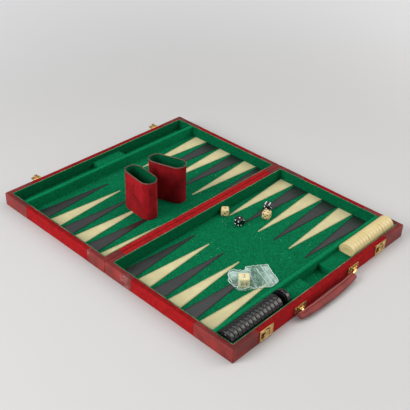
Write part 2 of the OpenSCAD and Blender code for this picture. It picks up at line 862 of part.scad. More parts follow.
// A checker on edge, facing along Y, with a ring pressed into both faces
module checker() {
    rotate([90, 0, 0]) difference() {
        rotate_extrude($fn = 96) checker_profile();
        for (end = [-1, 1]) translate([0, 0, end * checker_t / 2]) difference() {
            cylinder(h = 2 * ring_depth, r = ring_outer, center = true);
            cylinder(h = 2 * ring_depth + 1, r = ring_inner, center = true);
        }
    }
}

// Half of a checker's section, with round edges
module checker_profile() {
    edge_r = 1.2;
    translate([0, -checker_t / 2]) square([checker_r - edge_r, checker_t]);
    translate([0, -checker_t / 2 + edge_r]) square([checker_r, checker_t - 2 * edge_r]);
    for (z = [-checker_t / 2 + edge_r, checker_t / 2 - edge_r])
        translate([checker_r - edge_r, z]) circle(edge_r);
}

// How many breaks in the cream row come before the checker at index i
function breaks_before(i) = len([for (b = cream_breaks) if (b <= i) b]);

module cream_checkers() {
    color("wheat") at_base() for (i = [0 : cream_count - 1])
        let (y = row_end_y - checker_t / 2 - i * cream_pitch - breaks_before(i) * cream_break)
            translate([tray_mid_x, y, checker_z]) checker();
}

module black_checkers() {
    color("dimgray") at_base() for (i = [0 : black_count - 1])
        translate([tray_mid_x, -row_end_y + checker_t / 2 + i * black_pitch, checker_z]) checker();
}

// The fifteenth black checker leans on the edge of the step
module loose_checker() {
    color("dimgray") at_base()
        translate([tray_mid_x, loose_y, loose_z]) rotate([-checker_lean, 0, 0]) checker();
}

base_boards();
base_panel();
base_underside_velvet();
base_underside_corners();
base_side_velvet();
base_corner_leather();
base_felt_floor();
base_felt_lining();
base_rail();
base_tray_steps();
base_light_points();
base_dark_points();
lid_boards();
lid_panel();
lid_underside_velvet();
lid_underside_corners();
lid_side_velvet();
lid_corner_leather();
lid_felt_floor();
lid_felt_lining();
lid_rail();
lid_tray_block();
lid_light_points();
lid_dark_points();
hinge_cloth();
handle_grip();
handle_core();
handle_loops();
handle_brackets();
base_rivets();
latch_plates();
latch_cases();
latch_springs();
latch_slider_left();
latch_slider_right();
hasp_left();
hasp_right();
hasp_plates();
hasp_pins();
lid_rivets();
cup_front_shell();
cup_front_lining();
cup_front_base();
cup_back_shell();
cup_back_lining();
cup_back_base();
die_cream_left();
die_black_front();
die_cream_right();
die_black_back();
doubling_cube();
cube_bag();
cream_checkers();
black_checkers();
loose_checker();
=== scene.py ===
"""A folding backgammon case that lies open for play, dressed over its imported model.

The coverings, the felt, the stitched points, the fittings, the cups, the dice and the checkers are each a
class that holds its own sizes in millimetres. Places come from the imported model.
"""

import json
import logging
import math
from contextlib import contextmanager
from dataclasses import dataclass
from enum import Enum
from typing import Any, Callable, Iterable, Iterator, Mapping, Sequence, Union

import bmesh
import bpy
from mathutils import Matrix, Vector, noise


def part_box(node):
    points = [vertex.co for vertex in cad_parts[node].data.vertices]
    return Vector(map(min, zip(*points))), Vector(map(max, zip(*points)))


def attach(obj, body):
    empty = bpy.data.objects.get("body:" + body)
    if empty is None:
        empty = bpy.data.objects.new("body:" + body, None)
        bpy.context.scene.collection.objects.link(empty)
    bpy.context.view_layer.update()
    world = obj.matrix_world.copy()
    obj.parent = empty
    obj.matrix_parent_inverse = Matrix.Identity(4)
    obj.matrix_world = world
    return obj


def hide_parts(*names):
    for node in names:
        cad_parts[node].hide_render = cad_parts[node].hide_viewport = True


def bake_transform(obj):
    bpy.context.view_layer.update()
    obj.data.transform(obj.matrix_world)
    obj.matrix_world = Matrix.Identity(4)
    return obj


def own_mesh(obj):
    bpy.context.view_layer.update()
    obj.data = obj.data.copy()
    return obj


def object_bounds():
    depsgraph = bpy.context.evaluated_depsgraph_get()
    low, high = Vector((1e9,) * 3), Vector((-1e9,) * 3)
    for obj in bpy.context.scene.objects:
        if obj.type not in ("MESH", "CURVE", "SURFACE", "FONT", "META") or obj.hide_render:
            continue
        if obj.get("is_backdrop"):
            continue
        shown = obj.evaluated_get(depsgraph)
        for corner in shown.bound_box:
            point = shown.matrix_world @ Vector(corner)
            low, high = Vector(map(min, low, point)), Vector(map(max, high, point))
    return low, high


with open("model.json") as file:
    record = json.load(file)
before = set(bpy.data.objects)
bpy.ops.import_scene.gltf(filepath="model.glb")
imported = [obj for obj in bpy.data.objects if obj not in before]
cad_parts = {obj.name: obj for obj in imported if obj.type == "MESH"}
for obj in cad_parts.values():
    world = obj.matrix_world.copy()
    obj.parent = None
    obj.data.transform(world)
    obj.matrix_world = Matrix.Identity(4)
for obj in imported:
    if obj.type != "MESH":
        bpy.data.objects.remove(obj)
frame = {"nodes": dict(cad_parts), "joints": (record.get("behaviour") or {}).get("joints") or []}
CAD_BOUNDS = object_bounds()
LOG = logging.getLogger("backgammon_case")
MM = 0.001
Pair = tuple[float, float]
RGB = tuple[float, float, float]
Four = tuple[float, float, float, float]
Operand = Union["Sock", float, Sequence[Any], bpy.types.Material]


def srgb(*shown: float) -> RGB:
    """Turns a colour as a screen shows it, from 0 to 255, into Blender's linear numbers."""
    shares = [value / 255 for value in shown]
    return tuple(s / 12.92 if s <= 0.04045 else ((s + 0.055) / 1.055) ** 2.4 for s in shares)


def operator(operation: str, reflected: bool = False) -> Callable[["Sock", Operand], "Sock"]:
    """Makes the method for one of Python's operators.

    Args:
        operation: the Math node's operation.
        reflected: whether the other operand comes first.

    Returns:
        The method.
    """
    def method(self: "Sock", other: Operand) -> "Sock":
        """Adds the Math node."""
        return self.math(operation, self, first=other) if reflected else self.math(operation, other)
    return method


class Sock:
    """A node's output, on which Python's arithmetic adds Math nodes."""

    def __init__(self, tree: "Tree", link: bpy.types.NodeSocket) -> None:
        """Keeps the tree and the socket."""
        self.tree = tree
        self.link = link

    def math(self, operation: str, *others: Operand, first: Operand | None = None) -> "Sock":
        """Adds a Math node on this socket, or on first in its place, and the others."""
        operands = [self if first is None else first, *others]
        return self.tree.node("ShaderNodeMath", {"operation": operation}, dict(enumerate(operands)))

    __add__ = __radd__ = operator("ADD")
    __mul__ = __rmul__ = operator("MULTIPLY")
    __sub__, __rsub__ = operator("SUBTRACT"), operator("SUBTRACT", reflected=True)
    __mod__, __rmod__ = operator("FLOORED_MODULO"), operator("FLOORED_MODULO", reflected=True)
    __gt__, __lt__ = operator("GREATER_THAN"), operator("LESS_THAN")

    def between(self, low: float, high: float) -> "Sock":
        """A smooth share that rises from 0 at low to 1 at high."""
        settings = {"interpolation_type": "SMOOTHSTEP", "clamp": True}
        return self.tree.node("ShaderNodeMapRange", settings, {0: self, 1: low, 2: high})


class Tree:
    """A node tree that is being built, for a material or for geometry."""

    def __init__(self, tree: bpy.types.NodeTree) -> None:
        """Keeps the tree."""
        self.tree = tree

    @staticmethod
    def find(sockets: Any, key: str | int | None) -> bpy.types.NodeSocket:
        """Finds a socket by its index, or the first one in use, by its name or for None of any name."""
        if isinstance(key, int):
            return sockets[key]
        return next(s for s in sockets if s.enabled and key in (None, s.name))

    def feed(self, socket: bpy.types.NodeSocket, value: Operand) -> None:
        """Links a socket to a wrapped one, or to each of a list of them, or sets its value."""
        for one in value if isinstance(value, list) else [value]:
            if isinstance(one, Sock):
                self.tree.links.new(one.link, socket)
            else:
                socket.default_value = (*one[:3], 1.0) if socket.type == "RGBA" else one

    def node(self, kind: str, settings: Mapping[str, Any] | None = None,
             sockets: Mapping[str | int, Operand] | None = None, output: str | None = None) -> Sock:
        """Adds one node.

        Args:
            kind: the node's type name.
            settings: its settings, set before its sockets.
            sockets: the values or links of its inputs, by name or index.
            output: the name of the output wanted, or None for the first in use.

        Returns:
            The wrapped output.
        """
        made = self.tree.nodes.new(kind)
        for key, value in (settings or {}).items():
            setattr(made, key, value)
        for key, value in (sockets or {}).items():
            self.feed(self.find(made.inputs, key), value)
        return Sock(self, self.find(made.outputs, output) if made.outputs else None)


class Shader(Tree):
    """A material's node tree, with the patterns that the finishes share."""

    def __init__(self, name: str) -> None:
        """Starts an empty material."""
        self.material = bpy.data.materials.new(name)
        self.material.use_nodes = True
        self.material.node_tree.nodes.clear()
        super().__init__(self.material.node_tree)
        self.place = self.node("ShaderNodeTexCoord", output="Object")

    def noise(self, per_metre: float, detail: float = 2.0, rough: float = 0.5, warp: float = 0.0,
              stretch: RGB | None = None) -> Sock:
        """A cloudy pattern from 0 to 1.

        Args:
            per_metre: clouds in a metre.
            detail: octaves.
            rough: share of the fine octaves.
            warp: distortion.
            stretch: scale of each axis, or None.

        Returns:
            The pattern.
        """
        where = self.place
        if stretch:
            where = self.node("ShaderNodeMapping", None, {"Vector": self.place, "Scale": stretch})
        return self.node("ShaderNodeTexNoise", None, {
            "Vector": where, "Scale": per_metre, "Detail": detail, "Roughness": rough, "Distortion": warp})

    def cells(self, per_metre: float, feature: str = "F1") -> Sock:
        """A pattern of cells: the distance to the nearest one, or to what feature names."""
        return self.node("ShaderNodeTexVoronoi", {"feature": feature},
                         {"Vector": self.place, "Scale": per_metre}, "Distance")

    def mix(self, share: Operand, first: Operand, second: Operand) -> Sock:
        """Mixes two colours by a share from 0 to 1."""
        return self.node("ShaderNodeMix", {"data_type": "RGBA"}, {"Factor": share, "A": first, "B": second})

    def near(self, place: Sequence[float], reach: float) -> Sock:
        """A share that falls from 1 at a place to 0 at a reach from it."""
        distance = self.node("ShaderNodeVectorMath", {"operation": "DISTANCE"}, {0: self.place, 1: place},
                             "Value")
        return distance.between(reach, 0.25 * reach)

    def painted_top_shade(self, colour: Sock, dark: RGB, share: float, low: float, high: float) -> Sock:
        """The colour with painted shade: darkened by a share above a height that lies between two, in
        millimetres.
        """
        height = self.node("ShaderNodeSeparateXYZ", None, {"Vector": self.place}, "Z")
        # the dark colour of the painted shade on the tops
        flat = tuple(0.3 * part for part in dark)
        return self.mix(height.between(low * MM, high * MM) * share, colour, flat)

    def bump(self, height: Operand, depth: float, below: Sock | None = None) -> Sock:
        """A normal from a pattern from 0 to 1 and its depth in metres, on that of a coarser one or None."""
        sockets = {"Height": height, "Distance": depth, "Strength": 1.0}
        if below is not None:
            sockets["Normal"] = below
        return self.node("ShaderNodeBump", None, sockets)

    def surface(self, colour: Operand, rough: Operand, normal: Operand | None = None, gloss: float = 0.5,
                sheen: tuple[float, float, RGB] | None = None,
                more: Mapping[str, Operand] | None = None) -> bpy.types.Material:
        """Ends the material in one principled shader.

        Args:
            colour: the base colour.
            rough: the roughness.
            normal: the bumps, or None.
            gloss: the specular level.
            sheen: the weight, roughness and tint of the sheen, or None.
            more: values of other sockets.

        Returns:
            The material.
        """
        sockets = {"Base Color": colour, "Roughness": rough, "Specular IOR Level": gloss, **(more or {})}
        if normal is not None:
            sockets["Normal"] = normal
        if sheen is not None:
            sockets.update(zip(("Sheen Weight", "Sheen Roughness", "Sheen Tint"), sheen))
        shader = self.node("ShaderNodeBsdfPrincipled", None, sockets)
        self.node("ShaderNodeOutputMaterial", None, {"Surface": shader})
        return self.material


@dataclass(frozen=True)
class Finish:
    """A finish with a main colour and a second one, mostly darker. A subclass draws its pattern."""

    name: str
    colour: RGB
    second: RGB = (0.0, 0.0, 0.0)

    def dress(self, shader: Shader) -> bpy.types.Material:
        """Builds the material's nodes."""
        raise NotImplementedError

    def material(self) -> bpy.types.Material:
        """The material, built once."""
        return bpy.data.materials.get(self.name) or self.dress(Shader(self.name))


@dataclass(frozen=True)
class Velvet(Finish):
    """Cotton velvet whose pile lies in crushed patches, with painted shade darkening the rim tops."""

    # share of the painted shade on the rim tops
    rims: float = 0.42

    def dress(self, shader: Shader) -> bpy.types.Material:
        """Crushed patches, a short pile, painted shade on the rim tops and a soft sheen."""
        crush = shader.noise(95, 4, 0.6, 0.8).between(0.3, 0.7)
        tufts = shader.noise(430, 2, 0.6).between(0.3, 0.7)
        pile = shader.noise(1500, 3, 0.7)
        colour = shader.mix(crush * 0.4 + tufts * 0.4 + pile * 0.2, self.second, self.colour)
        # painted shade: the rim tops are darkened above 25.1 mm
        colour = shader.painted_top_shade(colour, self.second, self.rims, 25.1, 25.7)
        return shader.surface(colour, 0.9, shader.bump(pile * 0.6 + tufts * 0.4, 0.0006), 0.12,
                              (0.12, 0.4, srgb(220, 50, 60)))


@dataclass(frozen=True)
class Leatherette(Finish):
    """Grained leatherette with painted shade darkening its rim tops, and flecks where its skin has worn off.
    """

    worn: tuple[Four, ...] = ()
    # share of the painted shade on the rim tops
    rims: float = 0.42
    fleck: RGB = srgb(214, 176, 170)

    def dress(self, shader: Shader) -> bpy.types.Material:
        """A fine grain of cells, cloudy colour, painted shade on the rim tops, and the worn flecks."""
        grain = shader.cells(900, "DISTANCE_TO_EDGE").between(0.0, 0.22)
        cloud = shader.noise(30, 3, 0.6)
        colour = shader.mix(cloud.between(0.3, 0.75), self.second, self.colour)
        colour = shader.mix((1 - grain) * 0.35, colour, self.second)
        # painted shade: the rim tops are darkened above 25.2 mm
        colour = shader.painted_top_shade(colour, self.second, self.rims, 25.2, 25.9)
        flecks: Operand = 0.0
        for x, y, z, reach in self.worn:
            spot = shader.near((x, y, z), reach) * shader.noise(430, 4, 0.65, 0.8).between(0.55, 0.62)
            flecks = spot + flecks
        colour = shader.mix(flecks, colour, self.fleck)
        coarse = shader.bump(shader.noise(120, stretch=(1.0, 1.0, 0.3)), 0.0004)
        return shader.surface(colour, 0.38 + cloud * 0.14, shader.bump(grain, 0.00012, coarse), 0.36)


@dataclass(frozen=True)
class Felt(Finish):
    """Pressed wool felt with specks of lint."""

    lint: float = 1.0

    def dress(self, shader: Shader) -> bpy.types.Material:
        """Short tangled fibres, faint clouds and a few specks of white lint."""
        fibres = shader.noise(1100, 4, 0.75, 0.6)
        tufts = shader.noise(400, 2, 0.6).between(0.32, 0.68)
        share = fibres.between(0.3, 0.72) * 0.25 + tufts * 0.6 + shader.noise(60, 2, 0.6) * 0.15
        specks = shader.cells(120).between(0.085, 0.045) * shader.noise(30, 1).between(0.47, 0.56) * self.lint
        colour = shader.mix(specks * 0.75, shader.mix(share, self.second, self.colour), srgb(190, 226, 206))
        return shader.surface(colour, 0.95, shader.bump(fibres * 0.6 + tufts * 0.4, 0.0007), 0.08,
                              (0.1, 0.6, srgb(8, 172, 112)))


@dataclass(frozen=True)
class Vinyl(Finish):
    """Thin coated vinyl with a pressed grain."""

    rough: float = 0.5
    gloss: float = 0.35
    ior: float = 1.5

    def dress(self, shader: Shader) -> bpy.types.Material:
        """A fine grain and slightly soiled clouds."""
        cloud = shader.noise(45, 4, 0.65)
        grain = shader.noise(900, 3, 0.6)
        colour = shader.mix(cloud.between(0.3, 0.8) * 0.6 + grain * 0.3, self.second, self.colour)
        return shader.surface(colour, self.rough + cloud * 0.2, shader.bump(grain, 0.00012), self.gloss,
                              more={"IOR": self.ior})


@dataclass(frozen=True)
class Brass(Finish):
    """Thin plated brass, rubbed bright, with dull spots in its second colour."""

    rough: float = 0.3

    def dress(self, shader: Shader) -> bpy.types.Material:
        """Bright plating that is dull and rougher in small clouds."""
        tarnish = shader.noise(260, 4, 0.7, 0.5).between(0.5, 0.72)
        scratches = shader.noise(1400, 2, 0.6, stretch=(0.3, 1.0, 4.0))
        return shader.surface(shader.mix(tarnish, self.colour, self.second), self.rough + tarnish * 0.25,
                              shader.bump(scratches, 0.00003), more={"Metallic": 1.0})


@dataclass(frozen=True)
class Suede(Finish):
    """Suede whose nap is brushed in clouds."""

    def dress(self, shader: Shader) -> bpy.types.Material:
        """Brushed clouds over a fine nap."""
        brushed = shader.noise(60, 4, 0.65, 0.9, (1.0, 1.0, 0.6))
        nap = shader.noise(1300, 3, 0.75)
        colour = shader.mix(brushed.between(0.3, 0.7) * 0.7 + nap * 0.3, self.second, self.colour)
        return shader.surface(colour, 0.88, shader.bump(nap, 0.0004), 0.15, (0.3, 0.4, srgb(225, 70, 70)))


@dataclass(frozen=True)
class Resin(Finish):
    """Cast resin, faintly clouded and polished."""

    rough: float = 0.28
    gloss: float = 0.5

    def dress(self, shader: Shader) -> bpy.types.Material:
        """Faint clouds in the resin and fine wear on its polish."""
        wear = shader.noise(500, 3, 0.7)
        colour = shader.mix(shader.noise(45, 2, 0.5, 0.4), self.second, self.colour)
        return shader.surface(colour, self.rough + wear * 0.1, shader.bump(wear, 0.000004), self.gloss)


@dataclass(frozen=True)
class Timber(Finish):
    """Board or cut edges with long grain, or steel with drawn lines."""

    metallic: float = 0.0

    def dress(self, shader: Shader) -> bpy.types.Material:
        """Long lines along Y."""
        lines = shader.noise(160, 4, 0.7, 0.4, (1.0, 0.06, 1.0))
        colour = shader.mix(lines.between(0.3, 0.7), self.second, self.colour)
        return shader.surface(colour, 0.45 + lines * 0.3, shader.bump(lines, 0.0001),
                              more={"Metallic": self.metallic})


@dataclass(frozen=True)
class Thread(Finish):
    """Twisted sewing thread."""

    def dress(self, shader: Shader) -> bpy.types.Material:
        """A fine twist."""
        twist = shader.noise(2600, 2, 0.6)
        colour = shader.mix(twist, self.second, self.colour)
        return shader.surface(colour, 0.6, shader.bump(twist, 0.0001), 0.3)


@dataclass(frozen=True)
class Film(Finish):
    """Clear crumpled film, milky where it is folded."""

    clear: float = 0.1
    milky: float = 0.55
    cloudy: tuple[Four, ...] = ()
    clear_at: RGB = (0.18, -0.086, 0.014)
    clear_reach: float = 0.02

    def dress(self, shader: Shader) -> bpy.types.Material:
        """Sharp creases with a milky cast along them, and the cloudy places."""
        creases = shader.noise(75, 2, 0.5, 1.2)
        alpha = (creases - 0.5).math("ABSOLUTE").between(0.03, 0.0)
        for x, y, z, reach in self.cloudy:
            alpha = alpha.math("MAXIMUM", shader.near((x, y, z), reach) * creases.between(0.2, 0.6))
        alpha = alpha * (1 - shader.near(self.clear_at, self.clear_reach))
        return shader.surface(self.colour, 0.16, shader.bump(creases, 0.0016), 0.6,
                              more={"Alpha": self.clear + alpha * (self.milky - self.clear)})


@dataclass(frozen=True)
class Paint(Finish):
    """Ink or paint in a small mark."""

    def dress(self, shader: Shader) -> bpy.types.Material:
        """Uneven ink."""
        patchy = shader.noise(1800, 3, 0.7)
        faded = tuple(min(1.0, part * 1.6 + 0.01) for part in self.colour)
        return shader.surface(shader.mix(patchy * 0.5, self.colour, faded), 0.5, shader.bump(patchy, 0.00002))


@dataclass(frozen=True)
class Tabletop(Finish):
    """A pale tabletop with painted light: darker near the case and in its brighter second colour further off,
    where less lamp light falls.
    """

    reach: float = 1.9

    def dress(self, shader: Shader) -> bpy.types.Material:
        """Faint clouds on a matt top, and painted light that brightens it further off."""
        # painted light: the share falls from the near colour to the brighter far one
        near = shader.near((0.0, 0.0, 0.0), self.reach)
        clouds = 0.96 + shader.noise(3, 3, 0.6) * 0.04
        return shader.surface(shader.mix(near * clouds, self.second, self.colour), 0.6)


SCUFFS = ((-0.062, -0.2285, 0.025, 0.011), (-0.050, -0.2285, 0.022, 0.010), (-0.006, -0.2285, 0.018, 0.005),
          (0.038, -0.2285, 0.016, 0.010), (0.049, -0.2285, 0.021, 0.010), (0.051, -0.2285, 0.009, 0.012))
CLOUDY = ((0.205, -0.034, 0.005, 0.03), (0.182, -0.021, 0.005, 0.02), (0.147, -0.082, 0.005, 0.018),
          (0.154, -0.056, 0.005, 0.012))


class Palette:
    """The finishes of the whole case."""

    leatherette = Leatherette("burgundy leatherette", srgb(158, 41, 34), srgb(102, 20, 18), SCUFFS)
    grip = Leatherette("grip leatherette", srgb(146, 54, 50), srgb(104, 34, 32))
    velvet = Velvet("red velvet", srgb(184, 24, 27), srgb(112, 8, 12))
    # the hinge strip takes no painted rim shade
    strip_velvet = Velvet("red strip velvet", srgb(178, 26, 29), srgb(112, 10, 13), 0.0)
    felt = Felt("green felt", srgb(0, 122, 76), srgb(0, 62, 38))
    wall_felt = Felt("green wall felt", srgb(0, 114, 70), srgb(0, 62, 38), 0.0)
    rail_felt = Felt("green rail felt", srgb(2, 134, 84), srgb(0, 82, 50), 0.0)
    cup_felt = Felt("green cup felt", srgb(0, 92, 56), srgb(0, 54, 32), 0.0)
    cream_vinyl = Vinyl("cream vinyl", srgb(210, 201, 156), srgb(188, 178, 134))
    dark_vinyl = Vinyl("charcoal vinyl", srgb(22, 22, 23), srgb(14, 14, 15), 0.26, 0.76, 1.72)
    cream_thread = Thread("cream thread", srgb(206, 204, 160), srgb(140, 140, 100))
    dark_thread = Thread("dark thread", srgb(36, 40, 38), srgb(14, 20, 18))
    red_thread = Thread("burgundy thread", srgb(222, 160, 148), srgb(170, 100, 94))
    suede_thread = Thread("red thread", srgb(130, 18, 28), srgb(76, 6, 12))
    brass = Brass("plated brass", srgb(214, 180, 118), srgb(136, 106, 56))
    shade_brass = Brass("brass with painted shade", srgb(78, 60, 28), srgb(44, 30, 14), 0.5)
    # dark brass that paints the shade in the wing windows and lock wells
    suede = Suede("red suede", srgb(172, 22, 32), srgb(108, 7, 14))
    # darker copy of the red suede that paints the shade cup_front casts on cup_back
    shaded_suede = Suede("red suede with painted shade", srgb(150, 17, 25), srgb(84, 5, 10))
    card = Timber("cut edge", srgb(124, 74, 62), srgb(78, 42, 38))
    cream = Resin("cream resin", srgb(216, 197, 142), srgb(200, 179, 124))
    black = Resin("black resin", srgb(18, 18, 20), srgb(10, 10, 12), 0.18, 0.58)
    ivory = Resin("ivory resin", srgb(236, 220, 168), srgb(222, 204, 150), 0.35)
    # painted shadow for the gap between the wall felt and the rim
    gap = Paint("painted gap shadow", srgb(20, 14, 10))
    dark_pip = Paint("dark pip", srgb(28, 22, 20))
    white_pip = Paint("white pip", srgb(225, 225, 220))
    ink = Paint("brown ink", srgb(46, 30, 18))
    film = Film("clear film", srgb(206, 232, 224), cloudy=CLOUDY)
    zip_film = Film("zip of the bag", srgb(222, 240, 232), clear=0.6, milky=0.8)
    plywood = Timber("plywood", srgb(196, 162, 116), srgb(160, 124, 82))
    hardboard = Timber("hardboard", srgb(112, 80, 56), srgb(84, 58, 40))
    steel = Timber("drawn steel", srgb(176, 176, 178), srgb(130, 130, 134), 1.0)
    dark_steel = Timber("blackened steel", srgb(44, 38, 32), srgb(24, 20, 18), 1.0)
    # the far colour is painted brighter to make up for the lamps' light falling off there
    table = Tabletop("pale table", srgb(193, 192, 191), srgb(248, 248, 250))


@contextmanager
def edited(mesh: bpy.types.Mesh, merge: float | None = None,
           source: bpy.types.Mesh | None = None) -> Iterator[bmesh.types.BMesh]:
    """Opens a mesh for changes and writes it back.

    Args:
        mesh: the mesh that is written.
        merge: the distance in metres within which points are merged first, or None.
        source: the mesh that is read, or None for the same one.

    Yields:
        The open mesh.
    """
    made = bmesh.new()
    made.from_mesh(mesh if source is None else source)
    if merge is not None:
        bmesh.ops.remove_doubles(made, verts=made.verts[:], dist=merge)
    yield made
    made.to_mesh(mesh)
    made.free()


class Shape:
    """Points and faces that are gathered before they become one mesh."""

    def __init__(self) -> None:
        """Starts with nothing."""
        self.points: list[Vector] = []
        self.faces: list[tuple[int, ...]] = []
        self.slots: list[int] = []

    def add(self, points: Iterable[Vector], faces: Iterable[Sequence[int]], slot: int = 0) -> "Shape":
        """Adds points and the faces between them.

        Args:
            points: the new points.
            faces: faces that count from the first new point.
            slot: the finish's place in the list given to piece().

        Returns:
            This shape.
        """
        start = len(self.points)
        self.points.extend(points)
        for face in faces:
            self.faces.append(tuple(start + i for i in face))
            self.slots.append(slot)
        return self

    def skin(self, rings: Sequence[Sequence[Vector]], slot: int = 0, round_rings: bool = True,
             caps: bool = False, away_from: Vector | None = None, towards: bool = False) -> "Shape":
        """Skins a row of rings that have the same number of points.

        Args:
            rings: the rings in order.
            slot: the finish's place.
            round_rings: whether each ring closes on itself.
            caps: whether the first and last rings are filled.
            away_from: a point that the faces are turned away from, or None to leave them.
            towards: whether they are turned towards that point instead.

        Returns:
            This shape.
        """
        size = len(rings[0])
        points = [point for ring in rings for point in ring]
        faces: list[tuple[int, ...]] = []
        for r in range(0, (len(rings) - 1) * size, size):
            for i in range(size if round_rings else size - 1):
                j = (i + 1) % size
                faces.append((r + i, r + j, r + size + j, r + size + i))
        if caps:
            faces.append(tuple(range(size - 1, -1, -1)))
            faces.append(tuple(range(len(points) - size, len(points))))
        if away_from is not None:
            facing = 0.0
            for a, b, c, d in faces:
                across = (points[c] - points[a]).cross(points[d] - points[b])
                facing += across.dot(points[a] + points[c] - 2 * away_from)
            if (facing < 0) != towards:
                faces = [face[::-1] for face in faces]
        return self.add(points, faces, slot)

    def block(self, low: Sequence[float], high: Sequence[float], bevel: float) -> "Shape":
        """Adds a box with round edges, its two corners and the edges' radius given in millimetres."""
        made = bmesh.new()
        size = [(h - l) * MM for l, h in zip(low, high)]
        middle = [(h + l) / 2 * MM for l, h in zip(low, high)]
        place = Matrix.Translation(middle) @ Matrix.Diagonal((*size, 1.0))
        bmesh.ops.create_cube(made, size=1.0, matrix=place)
        bmesh.ops.bevel(made, geom=made.edges[:], offset=bevel * MM, segments=3, profile=0.5, affect="EDGES")
        return self.take(made)

    def turned(self, profile: Sequence[Pair], place: Matrix, sides: int) -> "Shape":
        """Adds a lathed solid.

        Args:
            profile: (radius, height) pairs in millimetres, whose first and last lie on the axis.
            place: the matrix that takes its axis, +Z, to its place.
            sides: faces round it.

        Returns:
            This shape.
        """
        made = bmesh.new()
        line = [made.verts.new((radius * MM, 0.0, height * MM)) for radius, height in profile]
        edges = [made.edges.new(pair) for pair in zip(line, line[1:])]
        bmesh.ops.spin(made, geom=line + edges, cent=(0, 0, 0), axis=(0, 0, 1), angle=2 * math.pi,
                       steps=sides, use_duplicate=False)
        bmesh.ops.remove_doubles(made, verts=made.verts[:], dist=1e-7)
        bmesh.ops.recalc_face_normals(made, faces=made.faces[:])
        made.transform(place)
        return self.take(made)

    def take(self, made: bmesh.types.BMesh) -> "Shape":
        """Moves a bmesh's points and faces into this shape and frees it."""
        made.verts.index_update()
        points = [v.co.copy() for v in made.verts]
        faces = [tuple(v.index for v in face.verts) for face in made.faces]
        made.free()
        return self.add(points, faces)

    def piece(self, name: str, *finishes: Finish, outward: bool = False,
              angle: float = 35.0) -> bpy.types.Object:
        """Turns the gathered faces into an object.

        Args:
            name: the object's name.
            finishes: the finishes, in the order of the slots.
            outward: whether every face is turned to point outwards.
            angle: edges sharper than this many degrees stay sharp.

        Returns:
            The object.
        """
        mesh = bpy.data.meshes.new(name)
        mesh.from_pydata([tuple(p) for p in self.points], [], self.faces)
        for finish in finishes:
            mesh.materials.append(finish.material())
        mesh.polygons.foreach_set("material_index", self.slots)
        if outward:
            with edited(mesh) as made:
                bmesh.ops.recalc_face_normals(made, faces=made.faces[:])
        return smoothed(new_object(name, mesh), angle)


def new_object(name: str, data: bpy.types.ID) -> bpy.types.Object:
    """Links a new object that holds a mesh, a lamp or the like."""
    made = bpy.data.objects.new(name, data)
    bpy.context.scene.collection.objects.link(made)
    return made


def smoothed(piece: bpy.types.Object, angle: float = 35.0) -> bpy.types.Object:
    """Shades a piece smooth, but for edges sharper than angle degrees."""
    piece.data.polygons.foreach_set("use_smooth", [True] * len(piece.data.polygons))
    piece.data.set_sharp_from_angle(angle=math.radians(angle))
    return piece


def plain_mesh(piece: bpy.types.Object) -> bpy.types.Mesh:
    """The mesh of an object with all that changes it applied."""
    bpy.context.view_layer.update()
    return bpy.data.meshes.new_from_object(piece.evaluated_get(bpy.context.evaluated_depsgraph_get()))


def modified(piece: bpy.types.Object, kind: str, values: Mapping[str, Any] | None = None,
             **settings: Any) -> bpy.types.Object:
    """Gives a piece one modifier and applies it.

    Args:
        piece: the piece.
        kind: the modifier's type.
        values: the values of a Geometry Nodes tree's inputs, by their sockets' identifiers, or None.
        settings: the modifier's settings.

    Returns:
        The piece, with a plain mesh.
    """
    modifier = piece.modifiers.new(kind.lower(), kind)
    for key, value in settings.items():
        setattr(modifier, key, value)
    for identifier, value in (values or {}).items():
        modifier[identifier] = value
    mesh = plain_mesh(piece)
    piece.modifiers.clear()
    piece.data = mesh
    return piece


def thickened(piece: bpy.types.Object, thickness: float) -> bpy.types.Object:
    """Gives a sheet a thickness in millimetres, inwards."""
    return modified(piece, "SOLIDIFY", thickness=thickness * MM, offset=-1.0)


def crumpled(piece: bpy.types.Object, depth: float, per_metre: float, seed: float) -> bpy.types.Object:
    """Moves a piece's points in and out along their normals by smooth noise.

    Args:
        piece: the piece.
        depth: the furthest move, in millimetres.
        per_metre: bumps in a metre.
        seed: shifts the noise.

    Returns:
        The piece.
    """
    shift = Vector((seed, 2.3 * seed, 5.1 * seed))
    for vertex in piece.data.vertices:
        vertex.co += vertex.normal * depth * MM * noise.noise(vertex.co * per_metre + shift)
    return piece


def settle_on(piece: bpy.types.Object, body: str, slot: str, *nodes: str) -> bpy.types.Object:
    """Makes a piece ride on a body in place of CAD nodes.

    Args:
        piece: the piece.
        body: the body's name.
        slot: the record's material slot; not used.
        nodes: the CAD nodes that it stands for.

    Returns:
        The piece.
    """
    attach(piece, body)
    if nodes:
        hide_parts(*nodes)
    LOG.info("%s rides on %s", piece.name, body)
    return piece


def brass_copy(node: str, name: str, bevel: float, body: str) -> None:
    """Puts a brass copy with round edges in the place of a CAD node.

    Args:
        node: the CAD node.
        name: the new piece's name.
        bevel: the radius of its edges in millimetres.
        body: the body that it rides on.
    """
    mesh = bpy.data.meshes.new(name)
    flat, sharp = math.radians(1.0), math.radians(32)
    with edited(mesh, 1e-6, frame["nodes"][node].data) as made:
        bmesh.ops.dissolve_limit(made, angle_limit=flat, verts=made.verts[:], edges=made.edges[:])
        edges = [e for e in made.edges if len(e.link_faces) == 2 and e.calc_face_angle(0.0) > sharp]
        bmesh.ops.bevel(made, geom=edges, offset=bevel * MM, segments=2, profile=0.5, affect="EDGES",
                        clamp_overlap=True)
    mesh.materials.append(Palette.brass.material())
    mesh.polygons.foreach_set("material_index", [0] * len(mesh.polygons))
    settle_on(smoothed(new_object(name, mesh)), body, "brass", node)


